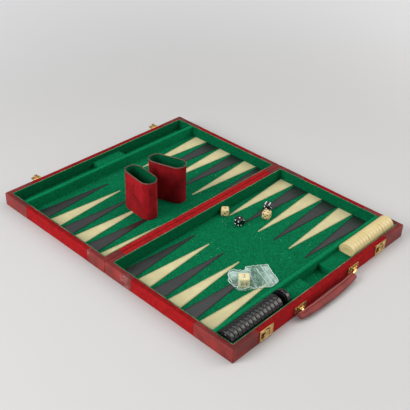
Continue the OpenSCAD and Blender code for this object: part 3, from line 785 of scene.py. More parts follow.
def dress_node(node: str, finish: Finish) -> None:
    """Gives a CAD node, which keeps its shape, a finish."""
    piece = frame["nodes"][node]
    piece.data.materials.clear()
    piece.data.materials.append(finish.material())
    LOG.info("%s keeps its shape and takes %s", node, finish.name)


class Side(Enum):
    """The half of the case: its body's name, and which way it lies from the fold."""

    BASE = ("base", 1.0)
    LID = ("lid", -1.0)

    @property
    def body(self) -> str:
        """The body's name."""
        return self.value[0]

    @property
    def way(self) -> float:
        """1 towards +X, -1 towards -X."""
        return self.value[1]


def joint_at(name: str) -> Sequence[float]:
    """The place of a joint, in metres."""
    return next(j for j in frame["joints"] if j["name"] == name)["pos_m"]


@dataclass(frozen=True)
class Planes:
    """Planes of the case in millimetres. u runs out from the fold on either half."""

    fold: float
    seam_u: float
    end_u: float
    half_w: float
    rim_z: float
    velvet_z: float
    inner_u: Pair
    inner_w: float
    floor_z: float

    @classmethod
    def read(cls, felt: float = 0.8, velvet: float = 0.8) -> "Planes":
        """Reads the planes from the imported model.

        Args:
            felt: thickness of the felt that the floor's edge is under.
            velvet: thickness of the velvet on the rim.

        Returns:
            The planes.
        """
        fold = joint_at("lid_fold")[0] / MM
        low, high = (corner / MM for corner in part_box("base_corner_leather"))
        floor_low, floor_high = (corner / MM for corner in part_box("base_felt_floor"))
        board_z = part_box("base_felt_lining")[1].z / MM
        return cls(fold, low.x - fold, high.x - fold, high.y, high.z, board_z + velvet,
                   (floor_low.x - fold + felt, floor_high.x - fold - felt), floor_high.y - felt, floor_high.z)

    def place(self, x: float, y: float, z: float) -> Vector:
        """The point in metres for a place whose x is counted from the fold."""
        return Vector(((self.fold + x) * MM, y * MM, z * MM))

    def at(self, side: Side, u: float, y: float, z: float) -> Vector:
        """The point in metres for a place on one half."""
        return self.place(side.way * u, y, z)

    def turned(self, place: Four, rise: float = 0.0) -> Matrix:
        """The matrix for an x from the fold, y, z and turn about Z, raised by some millimetres."""
        x, y, z, turn = place
        return Matrix.Translation(self.place(x, y, z + rise)) @ Matrix.Rotation(math.radians(turn), 4, "Z")


PLANES = Planes.read()


def arc(centre: Pair, radius: float, start: float, end: float, steps: int = 5) -> list[Pair]:
    """Points on an arc.

    Args:
        centre: its middle.
        radius: its radius.
        start: its first angle in degrees.
        end: its last angle.
        steps: the number of stretches.

    Returns:
        The points, both ends included.
    """
    angles = [math.radians(start + (end - start) * i / steps) for i in range(steps + 1)]
    return [(centre[0] + radius * math.cos(a), centre[1] + radius * math.sin(a)) for a in angles]


def steps_between(start: float, end: float, pitch: float) -> list[float]:
    """Evenly spaced values from start to end, both included, about a pitch apart."""
    count = max(1, round(abs(end - start) / pitch))
    return [start + (end - start) * i / count for i in range(count + 1)]


def between(start: Pair, end: Pair, pitch: float) -> list[Pair]:
    """Evenly spaced places on a straight line, both ends included."""
    count = max(1, round(math.dist(start, end) / pitch))
    return [(start[0] + (end[0] - start[0]) * i / count, start[1] + (end[1] - start[1]) * i / count)
            for i in range(count + 1)]


@dataclass
class Covering:
    """The velvet and leatherette of one half: wrapped walls, rims and underside."""

    side: Side
    outer_patch_u: float
    fold_patch_u: float
    end_patch_y: float = 56.5
    fold_patch_y: float = 38.5
    corner_r: float = 1.5
    foot_r: float = 1.2
    edge_r: float = 2.0
    lip_r: float = 0.8
    thickness: float = 0.8
    velvet_in: float = 0.2
    pitch: float = 4.0
    sheet_pitch: float = 20.0
    sheet_inset: float = 1.1
    lock_w: float = 20.8
    lock_margin: float = 0.8
    lock_z: Pair = (7.8, 22.8)
    rim_w: float = 9.3

    def __post_init__(self) -> None:
        """Finds the middle of the half, which the coverings look away from."""
        self.middle = PLANES.at(self.side, (PLANES.seam_u + PLANES.end_u) / 2, 0, 15)

    def profile(self, top: float, face: float, rim: bool = True) -> list[Pair]:
        """The wrapped section of a wall as (depth from the outer face, height) pairs.

        Args:
            top: height of the rim.
            face: depth of the outer face, and height of the lower edge.
            rim: whether it goes on over the rim.

        Returns:
            The pairs from the underside to the opening.
        """
        line = [(face + 3.0, face)] + arc((face + self.foot_r, face + self.foot_r), self.foot_r, 270, 180)
        line += [(face, z) for z in (self.lock_z[0], 12.5, 17.5, self.lock_z[1])]
        if not rim:
            return line + [(face, top - 1.4)]
        line += arc((face + self.edge_r, top - self.edge_r), self.edge_r, 180, 90, 6)
        line += [(depth, top) for depth in (face + 4.0, face + 6.0, self.rim_w - 1.4)]
        return line + arc((self.rim_w - self.lip_r, top - self.lip_r), self.lip_r, 90, 0, 4)

    def corner(self, quarter: int, reach_in: float, reach_out: float) -> list[Pair]:
        """Points along the outer face round one corner, anticlockwise on the base.

        Args:
            quarter: 0 for the corner at the fold and -Y, then on round.
            reach_in: length of the patch before the corner.
            reach_out: length after it.

        Returns:
            The points.
        """
        u0, u1, w, r = PLANES.seam_u, PLANES.end_u, PLANES.half_w, self.corner_r
        corner = [(u0, -w), (u1, -w), (u1, w), (u0, w)][quarter]
        before = [(0, 1), (-1, 0), (0, -1), (1, 0)][quarter]
        after = [(1, 0), (0, 1), (-1, 0), (0, -1)][quarter]
        middle = (corner[0] + r * (before[0] + after[0]), corner[1] + r * (before[1] + after[1]))
        start = (corner[0] + before[0] * reach_in, corner[1] + before[1] * reach_in)
        end = (corner[0] + after[0] * reach_out, corner[1] + after[1] * reach_out)
        turn = arc(middle, r, 180 + 90 * quarter, 270 + 90 * quarter)
        return between(start, turn[0], self.pitch)[:-1] + turn + between(turn[-1], end, self.pitch)[1:]

    def wrap(self, shape: Shape, line: Sequence[Pair], profile: Sequence[Pair]) -> None:
        """Adds one strip of covering along a line of the outer face."""
        lowest, highest = PLANES.inner_u
        wall = lowest - PLANES.seam_u
        rings = []
        for u, y in line:
            in_u = min(max(u, lowest), highest) - u
            in_y = min(max(y, -PLANES.inner_w), PLANES.inner_w) - y
            rings.append([PLANES.at(self.side, u + in_u * d / wall, y + in_y * d / wall, z)
                          for d, z in profile])
        shape.skin(rings, round_rings=False, away_from=self.middle)

    def sheet(self, shape: Shape, low: Pair, high: Pair, z: float) -> None:
        """Adds one flat sheet under the case, facing down."""
        edge = self.sheet_inset
        us = steps_between(max(low[0], PLANES.seam_u + edge), min(high[0], PLANES.end_u - edge),
                           self.sheet_pitch)
        ys = steps_between(max(low[1], edge - PLANES.half_w), min(high[1], PLANES.half_w - edge),
                           self.sheet_pitch)
        rings = [[PLANES.at(self.side, u, y, z) for y in ys] for u in us]
        shape.skin(rings, round_rings=False, away_from=self.middle)

    def leather(self) -> None:
        """Builds the leatherette at the corners, beside the fold and under them."""
        shape = Shape()
        profile = self.profile(PLANES.rim_z, 0.0)
        reach = [(self.fold_patch_y, self.fold_patch_u), (self.outer_patch_u, self.end_patch_y),
                 (self.end_patch_y, self.outer_patch_u), (self.fold_patch_u, self.fold_patch_y)]
        for quarter, (reach_in, reach_out) in enumerate(reach):
            self.wrap(shape, self.corner(quarter, reach_in, reach_out), profile)
        end_u, w = PLANES.end_u, PLANES.half_w
        for way in (-1, 1):
            for u0, u1, long in ((end_u - self.outer_patch_u, end_u, self.end_patch_y),
                                 (0.0, self.fold_patch_u, self.fold_patch_y)):
                edge = sorted((way * w, way * (w - long)))
                self.sheet(shape, (u0, edge[0]), (u1, edge[1]), 0.0)
        body = self.side.body
        piece = crumpled(shape.piece(f"{body}_leatherette", Palette.leatherette), 0.12, 40, 3.0)
        settle_on(smoothed(thickened(piece, self.thickness)), body, "leatherette", f"{body}_corner_leather",
                  f"{body}_underside_corners")

    def velvet(self) -> None:
        """Builds the velvet between the leatherette, on the walls, the rims and the underside."""
        shape = Shape()
        face, top = self.velvet_in, PLANES.velvet_z
        u0, u1, w = PLANES.seam_u, PLANES.end_u, PLANES.half_w
        mid_u = (self.fold_patch_u, u1 - self.outer_patch_u)
        for line in (between((mid_u[0], -w), (mid_u[1], -w), self.pitch), self.end_wall(),
                     between((mid_u[1], w), (mid_u[0], w), self.pitch)):
            self.wrap(shape, line, self.profile(top, face))
        fold_wall = between((u0, w - self.fold_patch_y), (u0, self.fold_patch_y - w), self.pitch)
        self.wrap(shape, fold_wall, self.profile(top, face, rim=False))
        self.sheet(shape, (u0, -w), (u1, w), face)
        if self.side is Side.BASE:
            self.open_for_locks(shape)
        body = self.side.body
        piece = crumpled(shape.piece(f"{body}_velvet", Palette.velvet), 0.22, 55, 8.0)
        settle_on(smoothed(thickened(piece, 0.75 * self.thickness)), body, "velvet", f"{body}_side_velvet",
                  f"{body}_underside_velvet")

    def lock_edges(self) -> list[float]:
        """The sides of the two lock cases along Y, a little inside them."""
        low, high = (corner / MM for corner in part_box("latch_cases"))
        near, far = self.lock_margin, self.lock_w - self.lock_margin
        return [low.y + near, low.y + far, high.y - far, high.y - near]

    def end_wall(self) -> list[Pair]:
        """Points along the end wall between the patches, with one at each side of the lock cases."""
        reach = PLANES.half_w - self.end_patch_y
        stops = [-reach, *self.lock_edges(), reach]
        line: list[Pair] = []
        for start, end in zip(stops, stops[1:]):
            line += between((PLANES.end_u, start), (PLANES.end_u, end), self.pitch)[:-1]
        return line + [(PLANES.end_u, reach)]

    def open_for_locks(self, shape: Shape) -> None:
        """Leaves out the faces where the lock cases go through the velvet, behind their plates."""
        first, second, third, fourth = self.lock_edges()
        face_x = PLANES.fold + PLANES.end_u - 2 * self.thickness

        def covers(face: tuple[int, ...]) -> bool:
            """Whether a face stays."""
            x, y, z = sum((shape.points[i] for i in face), Vector()) / (len(face) * MM)
            behind = first < y < second or third < y < fourth
            return not (behind and x > face_x and self.lock_z[0] < z < self.lock_z[1])

        shape.faces = [face for face in shape.faces if covers(face)]
        shape.slots = [0] * len(shape.faces)


class Growth(Tree):
    """A Geometry Nodes tree with named inputs, and the plain mesh that it grows."""

    def __init__(self, name: str, inputs: Mapping[str, float]) -> None:
        """Starts a tree.

        Args:
            name: the tree's name.
            inputs: the value of each input, a float or an int.
        """
        self.group = bpy.data.node_groups.new(name, "GeometryNodeTree")
        super().__init__(self.group)
        new = self.group.interface.new_socket
        new("Geometry", in_out="INPUT", socket_type="NodeSocketGeometry")
        self.values: dict[str, float] = {}
        for label, value in inputs.items():
            kind = "NodeSocketInt" if isinstance(value, int) else "NodeSocketFloat"
            self.values[new(label, in_out="INPUT", socket_type=kind).identifier] = value
        new("Geometry", in_out="OUTPUT", socket_type="NodeSocketGeometry")
        self.given = self.group.nodes.new("NodeGroupInput")

    def __getitem__(self, label: str) -> Sock:
        """The wrapped output of a named input."""
        return Sock(self, self.given.outputs[label])

    def vector(self, x: Operand = 0.0, y: Operand = 0.0, z: Operand = 0.0) -> Sock:
        """A vector of three numbers."""
        return self.node("ShaderNodeCombineXYZ", None, {"X": x, "Y": y, "Z": z})

    def curve(self, pitch: Sock | None = None) -> Sock:
        """The source's edges as a curve, with even points a pitch apart, or its own for None."""
        curve = self.node("GeometryNodeMeshToCurve", None, {"Mesh": self["Geometry"]})
        if pitch is None:
            return curve
        return self.node("GeometryNodeResampleCurve", {"mode": "LENGTH"}, {"Curve": curve, "Length": pitch})

    def tube(self, curve: Sock, radius: Sock, sides: int) -> Sock:
        """A closed tube round a curve."""
        circle = self.node("GeometryNodeCurvePrimitiveCircle", None, {"Resolution": sides, "Radius": radius})
        return self.node("GeometryNodeCurveToMesh", None,
                         {"Curve": curve, "Profile Curve": circle, "Fill Caps": True})

    def grow(self, name: str, source: bpy.types.Mesh, geometry: Sock, finish: Finish) -> bpy.types.Object:
        """Ends the tree in real, dressed geometry and runs it.

        Args:
            name: the new object's name.
            source: the mesh that the tree starts from.
            geometry: what the tree has made.
            finish: its finish.

        Returns:
            An object with a plain mesh.
        """
        real = self.node("GeometryNodeRealizeInstances", None, {"Geometry": geometry})
        smooth = self.node("GeometryNodeSetShadeSmooth", None, {"Geometry": real})
        dressed = self.node("GeometryNodeSetMaterial", None,
                            {"Geometry": smooth, "Material": finish.material()})
        self.node("NodeGroupOutput", None, {"Geometry": dressed})
        return modified(new_object(name, source), "NODES", self.values, node_group=self.group)


def tubes(name: str, paths: Sequence[Sequence[Vector]], radius: float, sides: int,
          finish: Finish) -> bpy.types.Object:
    """Grows a wire or bead along each path.

    Args:
        name: the piece's name.
        paths: the paths, in metres.
        radius: the wire's radius in millimetres.
        sides: faces round it.
        finish: its finish.

    Returns:
        The piece.
    """
    growth = Growth(name, {"Radius": radius * MM})
    tube = growth.tube(growth.curve(), growth["Radius"], sides)
    return growth.grow(name, path_mesh(name, paths), tube, finish)


def path_mesh(name: str, paths: Sequence[Sequence[Vector]]) -> bpy.types.Mesh:
    """A mesh of edges only, one row of them for each path."""
    points: list[Vector] = []
    edges: list[tuple[int, int]] = []
    for path in paths:
        start = len(points)
        points.extend(path)
        edges.extend((i, i + 1) for i in range(start, len(points) - 1))
    mesh = bpy.data.meshes.new(name)
    mesh.from_pydata(points, edges, [])
    return mesh


@dataclass
class Stitching:
    """Thread that zigzags over an edge, or runs along it in single stitches."""

    finish: Finish
    pitch: float = 1.3
    swing: float = 1.1
    thread_r: float = 0.28
    long: float = 2.6

    def sew(self, name: str, paths: Sequence[Sequence[Vector]]) -> bpy.types.Object:
        """Sews one zigzag thread along each path."""
        tree = Growth(name, {"Pitch": self.pitch * MM, "Swing": self.swing * MM,
                             "Radius": self.thread_r * MM})
        tangent = tree.node("GeometryNodeInputTangent")
        across = tree.node("ShaderNodeVectorMath", {"operation": "CROSS_PRODUCT"}, {0: tangent, 1: (0, 0, 1)})
        turn = (tree.node("GeometryNodeInputIndex") % 2.0) * 2.0 - 1.0
        offset = tree.node("ShaderNodeVectorMath", {"operation": "SCALE"},
                           {0: across, "Scale": turn * tree["Swing"]})
        moved = tree.node("GeometryNodeSetPosition", None,
                          {"Geometry": tree.curve(tree["Pitch"]), "Offset": offset})
        return tree.grow(name, path_mesh(name, paths), tree.tube(moved, tree["Radius"], 5), self.finish)

    def run(self, name: str, path: Sequence[Vector]) -> bpy.types.Object:
        """Lays single stitches end to end along a path, each a flat bead."""
        tree = Growth(name, {"Pitch": self.pitch * MM, "Radius": self.thread_r * MM,
                             "Stitch": self.long * MM / 2})
        turn = tree.node("FunctionNodeAlignRotationToVector", {"axis": "Z"},
                         {"Vector": tree.node("GeometryNodeInputTangent")})
        bead = tree.node("GeometryNodeMeshUVSphere", None, {"Segments": 8, "Rings": 5, "Radius": 1.0})
        size = tree.vector(tree["Radius"], tree["Radius"], tree["Stitch"])
        beads = tree.node("GeometryNodeInstanceOnPoints", None, {
            "Points": tree.curve(tree["Pitch"]), "Instance": bead, "Rotation": turn, "Scale": size})
        return tree.grow(name, path_mesh(name, [path]), beads, self.finish)


@dataclass
class Lining:
    """Felt inside one half: the floor, the walls, the rail and the raised floors."""

    side: Side
    steps: tuple[Pair, ...]
    step_node: str
    sheet_t: float = 0.5
    rail_round: float = 2.3
    step_round: float = 1.1
    pitch: float = 6.0
    corner_r: float = 1.2
    edge_w: float = 2.1
    gap_w: float = 0.9
    board_z: float = 25.1
    lap: float = 0.6
    uneven: float = 0.07

    def floor(self) -> None:
        """Builds the felt on the floor, which lies a little uneven."""
        body = self.side.body
        (u0, u1), w = PLANES.inner_u, PLANES.inner_w

        def at(u: float, y: float) -> Vector:
            """The felt's top at a place."""
            rise = self.uneven * (noise.noise(Vector((u, y, 1)) * 0.03) - 0.5)
            return PLANES.at(self.side, u, y, PLANES.floor_z + rise)

        rings = [[at(u, y) for y in steps_between(-w - self.lap, w + self.lap, self.pitch)]
                 for u in steps_between(u0 - self.lap, u1 + self.lap, self.pitch)]
        shape = Shape().skin(rings, round_rings=False, away_from=Vector((0, 0, -1)))
        settle_on(thickened(shape.piece(f"{body}_floor_felt", Palette.felt), self.sheet_t), body, "felt",
                  f"{body}_felt_floor")

    def walls(self) -> None:
        """Builds the felt on the inner faces of the walls, its rounded top edge and a dark strip of painted
        shadow in the gap beside it.
        """
        body = self.side.body
        (u0, u1), w, r = PLANES.inner_u, PLANES.inner_w, self.corner_r
        line: list[Pair] = []
        for quarter, (u, y) in enumerate([(u0, -w), (u1, -w), (u1, w), (u0, w)]):
            middle = (u + (r if u == u0 else -r), y + (r if y < 0 else -r))
            turn = arc(middle, r, 180 + 90 * quarter, 270 + 90 * quarter, 4)
            line += (between(line[-1], turn[0], self.pitch)[1:-1] if line else []) + turn
        line += between(line[-1], line[0], self.pitch)[1:-1]
        top, e = PLANES.velvet_z - 0.55, self.edge_w / 2
        heights = [PLANES.floor_z - 0.3, PLANES.floor_z + 0.5, *steps_between(6, top - e - 1, 4)]
        section = [(0.0, z) for z in heights] + arc((e, top - e), e, 180, 0, 8)
        section.append((2 * e, self.board_z - 0.02))
        # a flat dark strip that paints the shadow in the gap between the felt and the rim
        gap = [(2 * e - 0.1, self.board_z), (2 * e + self.gap_w, self.board_z)]
        middle = PLANES.at(self.side, (u0 + u1) / 2, 0, 14)
        shape = Shape()
        for slot, part in enumerate((section, gap)):
            rings = [[self.set_back(u, y, back, z) for u, y in line] for back, z in part]
            shape.skin(rings, slot, away_from=middle, towards=not slot)
        piece = crumpled(shape.piece(f"{body}_wall_felt", Palette.wall_felt, Palette.gap), 0.1, 60, 5.0)
        settle_on(thickened(piece, self.sheet_t), body, "felt", f"{body}_felt_lining")

    def set_back(self, u: float, y: float, back: float, z: float) -> Vector:
        """The point behind a place on the wall's inner face, set back into the wall."""
        (u0, u1), w = PLANES.inner_u, PLANES.inner_w
        middle_u = (u0 + u1) / 2
        behind_u = middle_u + (u - middle_u) * (1 + 2 * back / (u1 - u0))
        return PLANES.at(self.side, behind_u, y * (1 + back / w), z)

    def rail(self) -> None:
        """Builds the felt-covered rail with its soft round top."""
        body = self.side.body
        low, high = (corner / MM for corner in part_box("base_rail"))
        u0, u1, top, r = low.x - PLANES.fold, high.x - PLANES.fold, high.z, self.rail_round
        heights = (PLANES.floor_z - 0.2, 9, 16)
        section = [(u0, z) for z in heights] + arc((u0 + r, top - r), r, 180, 90)
        section += arc((u1 - r, top - r), r, 90, 0) + [(u1, z) for z in reversed(heights)]
        rings = [[PLANES.at(self.side, u, y, z) for u, z in section]
                 for y in steps_between(-PLANES.inner_w, PLANES.inner_w, self.pitch)]
        piece = Shape().skin(rings, caps=True).piece(f"{body}_rail_felt", Palette.rail_felt, outward=True)
        settle_on(crumpled(piece, 0.12, 45, 2.0), body, "felted_wood", f"{body}_rail")

    def blocks(self) -> None:
        """Builds the raised floors in the compartment."""
        body = self.side.body
        low, high = (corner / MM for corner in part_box("base_tray_steps"))
        x0, x1 = sorted(PLANES.fold + self.side.way * (x - PLANES.fold) for x in (low.x, high.x))
        shape = Shape()
        for y0, y1 in self.steps:
            shape.block((x0, y0, PLANES.floor_z - 0.2), (x1, y1, high.z), self.step_round)
        settle_on(shape.piece(f"{body}_raised_floors", Palette.felt, outward=True), body, "felted_wood",
                  self.step_node)

    def build(self) -> None:
        """Builds all the felt of the half."""
        self.floor()
        self.walls()
        self.rail()
        self.blocks()


@dataclass
class Points:
    """The twelve points of one half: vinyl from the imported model, and its stitched edges."""

    side: Side
    first_light: int
    first_u: float = 31.0
    pitch: float = 35.7
    width: float = 31.0
    tip_y: float = 46.0
    count: int = 6
    tip_r: float = 1.2
    hem: float = 0.7
    root_in: float = 0.4
    rise: float = 0.62

    def edges(self, light: bool) -> list[list[Vector]]:
        """The paths of the stitches along the points of one colour."""
        z = PLANES.floor_z + self.rise
        paths = []
        for i in range(self.count):
            u = self.first_u + self.pitch * i
            way = -1 if (i % 2 == self.first_light) == light else 1
            for edge in (-1, 1):
                ends = ((u + edge * (self.width / 2 - self.hem), way * (PLANES.inner_w - self.root_in)),
                        (u + edge * 0.4 * self.tip_r, way * (self.tip_y + self.tip_r)))
                paths.append([PLANES.at(self.side, *end, z) for end in ends])
        return paths

    def build(self) -> None:
        """Dresses the vinyl and sews its edges."""
        body = self.side.body
        for light, shade, name, vinyl, thread in (
                (True, "light", "cream", Palette.cream_vinyl, Palette.cream_thread),
                (False, "dark", "charcoal", Palette.dark_vinyl, Palette.dark_thread)):
            dress_node(f"{body}_{shade}_points", vinyl)
            stitches = Stitching(thread).sew(f"{body}_{name}_stitches", self.edges(light))
            settle_on(stitches, body, f"{name}_vinyl")


@dataclass
class HingeStrip:
    """The velvet strip over both rims at the fold, with its crease on the seam."""

    half_u: float = 9.9
    crease_half: float = 1.1
    crease_depth: float = 2.0
    ridge_u: float = 3.6
    ridge_w: float = 2.4
    ridge: float = 0.45
    edge_w: float = 2.5
    thickness: float = 0.6
    pitch: float = 4.0

    def height(self, u: float, y: float) -> float:
        """The strip's height above the rim's velvet at a place."""
        crease = -self.crease_depth * max(0.0, 1 - (u / self.crease_half) ** 2)
        ridge = self.ridge * math.exp(-((abs(u) - self.ridge_u) / self.ridge_w) ** 2)
        fade = min(1.0, max(0.0, (self.half_u - abs(u)) / self.edge_w))
        wave = 0.25 * noise.noise(Vector((u * 0.06, y * 0.03, 4))) * fade
        return crease + ridge + wave - 0.5 * (1 - fade) ** 2

    def build(self) -> None:
        """Builds the strip across the fold and bakes its place."""
        low, high = (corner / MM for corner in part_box("hinge_cloth"))
        us = [-self.half_u, -9.3, -8.3, -7, -6, -5, -4, -3, -2.2, -1.5, -1.0, -0.7, -0.35, 0]
        us += [-u for u in reversed(us[:-1])]
        rings = [[PLANES.place(u, y, high.z + self.height(u, y)) for u in us]
                 for y in steps_between(low.y, high.y, self.pitch)]
        shape = Shape().skin(rings, round_rings=False, away_from=Vector((0, 0, -1)))
        piece = thickened(shape.piece("hinge_velvet", Palette.strip_velvet, angle=80), self.thickness)
        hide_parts("hinge_cloth")
        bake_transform(piece)
        LOG.info("%s bends between base and lid", piece.name)


@dataclass
class Handle:
    """The padded grip on its two brackets: a thick body, and a thin sewn flange along its inner edge."""

    slope: float = 28.0
    middle_y: float = -12.0
    half: float = 75.0
    out_u: float = 20.1
    out_sag: float = 5.4
    in_u: float = 4.8
    in_sag: float = 2.5
    half_t: float = 4.0
    flange: float = 3.4
    flange_t: float = 1.5
    end_round: float = 4.5
    notch_y: float = -60.0
    notch: float = 1.4
    notch_half: float = 7.5
    points: int = 14

    def __post_init__(self) -> None:
        """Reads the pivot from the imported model."""
        x, _, z = joint_at("handle_swing")
        self.plane = Matrix.Translation((x, 0, z)) @ Matrix.Rotation(math.radians(self.slope), 4, "Y")

    def edges(self, y: float) -> Pair:
        """The inner and outer edge of the grip at a place along it."""
        bend = (y / self.half) ** 2
        near = max(0.0, 1 - abs(y - self.notch_y) / self.notch_half)
        return (self.in_u - self.in_sag * bend + self.notch * near * near * (3 - 2 * near),
                self.out_u - self.out_sag * bend)

    def at(self, u: float, y: float, n: float) -> Vector:
        """The point in metres for a place in the handle's own plane."""
        return self.plane @ (Vector((u, self.middle_y + y, n)) * MM)

    def section(self, inner: float, outer: float) -> list[Pair]:
        """The grip's upper section as (u, half thickness), from the inner edge to the outer one."""
        start, t = inner + self.flange, self.flange_t
        middle, half_w = (start + outer) / 2, (outer - start) / 2
        line = [(inner, 0.0), (inner + 0.15, 0.5 * t), (inner + 0.6, 1.3), (inner + 1.3, t), (inner + 2.2, t),
                (start - 0.4, 0.7 * t)]
        for i in range(self.points + 1):
            turn = math.pi * (1 - i / self.points)
            thick = self.half_t * abs(math.sin(turn)) ** 0.62
            line.append((middle + half_w * math.copysign(abs(math.cos(turn)) ** 0.8, math.cos(turn)),
                         max(thick, 0.8) if i < self.points / 2 else thick))
        return line

    def grip(self) -> None:
        """Builds the padded grip with its thin flange."""
        tail = [self.end_round * (1 - math.cos(math.radians(a))) - self.half for a in range(0, 91, 15)]
        rings = []
        for y in tail + steps_between(tail[-1], -tail[-1], 3.0)[1:-1] + [-y for y in reversed(tail)]:
            inner, outer = self.edges(y)
            left = min(1.0, (self.half - abs(y)) / self.end_round)
            cap = math.sqrt(max(0.0, 1 - (1 - left) ** 2))
            middle, wide = (inner + outer) / 2, 0.55 + 0.45 * cap
            upper = [(middle + (u - middle) * wide, t * (0.3 + 0.7 * cap))
                     for u, t in self.section(inner, outer)]
            rings.append([self.at(u, y, t + 0.2 * noise.noise(Vector((u * 0.12, y * 0.09, t * 0.1))))
                          for u, t in upper + [(u, -t) for u, t in reversed(upper[1:-1])]])
        piece = Shape().skin(rings, caps=True).piece("grip", Palette.grip, outward=True, angle=60)
        piece = modified(piece, "SUBSURF", levels=1, render_levels=1)
        settle_on(piece, "handle", "leatherette", "handle_grip")

    def build(self) -> None:
        """Builds the grip, the stitches along its flange, its loops and its core."""
        self.grip()
        path = [self.at(self.edges(y)[0] + 2.3, y, self.flange_t + 0.05)
                for y in steps_between(5 - self.half, self.half - 5, 3.0)]
        stitches = Stitching(Palette.red_thread, pitch=3.2, thread_r=0.5).run("grip_stitches", path)
        settle_on(stitches, "handle", "leatherette")
        brass_copy("handle_loops", "grip_loops", 0.25, "handle")
        dress_node("handle_core", Palette.steel)


@dataclass
class Brackets:
    """The brass brackets of the handle: plates with two framed wings, and ears that hold a bar."""

    bracket_y: float = 72.0
    window: Pair = (6.7, 12.7)
    window_z: float = 4.2
    plate_t: float = 1.0

    def build(self) -> None:
        """Builds the plates, and the dark floors in their wings, which paint the shade there."""
        low, high = (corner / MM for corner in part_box("handle_brackets"))
        face, middle_z = low.x + self.plate_t, (low.z + high.z) / 2
        shape = Shape()
        for side in (-1, 1):
            for end in (-1, 1):
                y0, y1 = sorted(side * self.bracket_y + end * edge for edge in self.window)
                shape.block((face - 0.2, y0, middle_z - self.window_z),
                            (face + 0.08, y1, middle_z + self.window_z), 0.05)
        brass_copy("handle_brackets", "bracket_plates", 0.3, "base")
        # dark brass floors painted as the shade in the wing windows
        settle_on(shape.piece("bracket_floor_shade", Palette.shade_brass), "base", "brass")


@dataclass
class Rivets:
    """Domed rivets on one body, grown on points."""

    body: str
    way: float
    head_r: float = 1.5
    head_t: float = 0.8
    shank_r: float = 0.75
    shank: float = 6.0

    def build(self, places: Sequence[RGB]) -> None:
        """Grows a rivet at each place, in millimetres, and stands them for their CAD node."""
        node = f"{self.body}_rivets"
        tree = Growth(f"{node}_tree", {"Head radius": self.head_r * MM, "Head height": self.head_t * MM,
                                       "Shank radius": self.shank_r * MM, "Shank length": self.shank * MM})
        ball = tree.node("GeometryNodeMeshUVSphere", None, {"Segments": 20, "Rings": 10, "Radius": 1.0})
        size = tree.vector(tree["Head height"], tree["Head radius"], tree["Head radius"])
        head = tree.node("GeometryNodeTransform", None, {"Geometry": ball, "Scale": size})
        rod = tree.node("GeometryNodeMeshCylinder", None, {
            "Vertices": 16, "Radius": tree["Shank radius"], "Depth": tree["Shank length"]}, "Mesh")
        back = tree.vector(tree["Shank length"] * (-0.5 * self.way))
        shank = tree.node("GeometryNodeTransform", None,
                          {"Geometry": rod, "Rotation": (0, math.pi / 2, 0), "Translation": back})
        both = tree.node("GeometryNodeJoinGeometry", None, {0: [head, shank]})
        heads = tree.node("GeometryNodeInstanceOnPoints", None,
                          {"Points": tree["Geometry"], "Instance": both})
        source = path_mesh(f"{node}_places", [[Vector(place) * MM] for place in places])
        settle_on(tree.grow(f"{node}_heads", source, heads, Palette.brass), self.body, "brass", node)


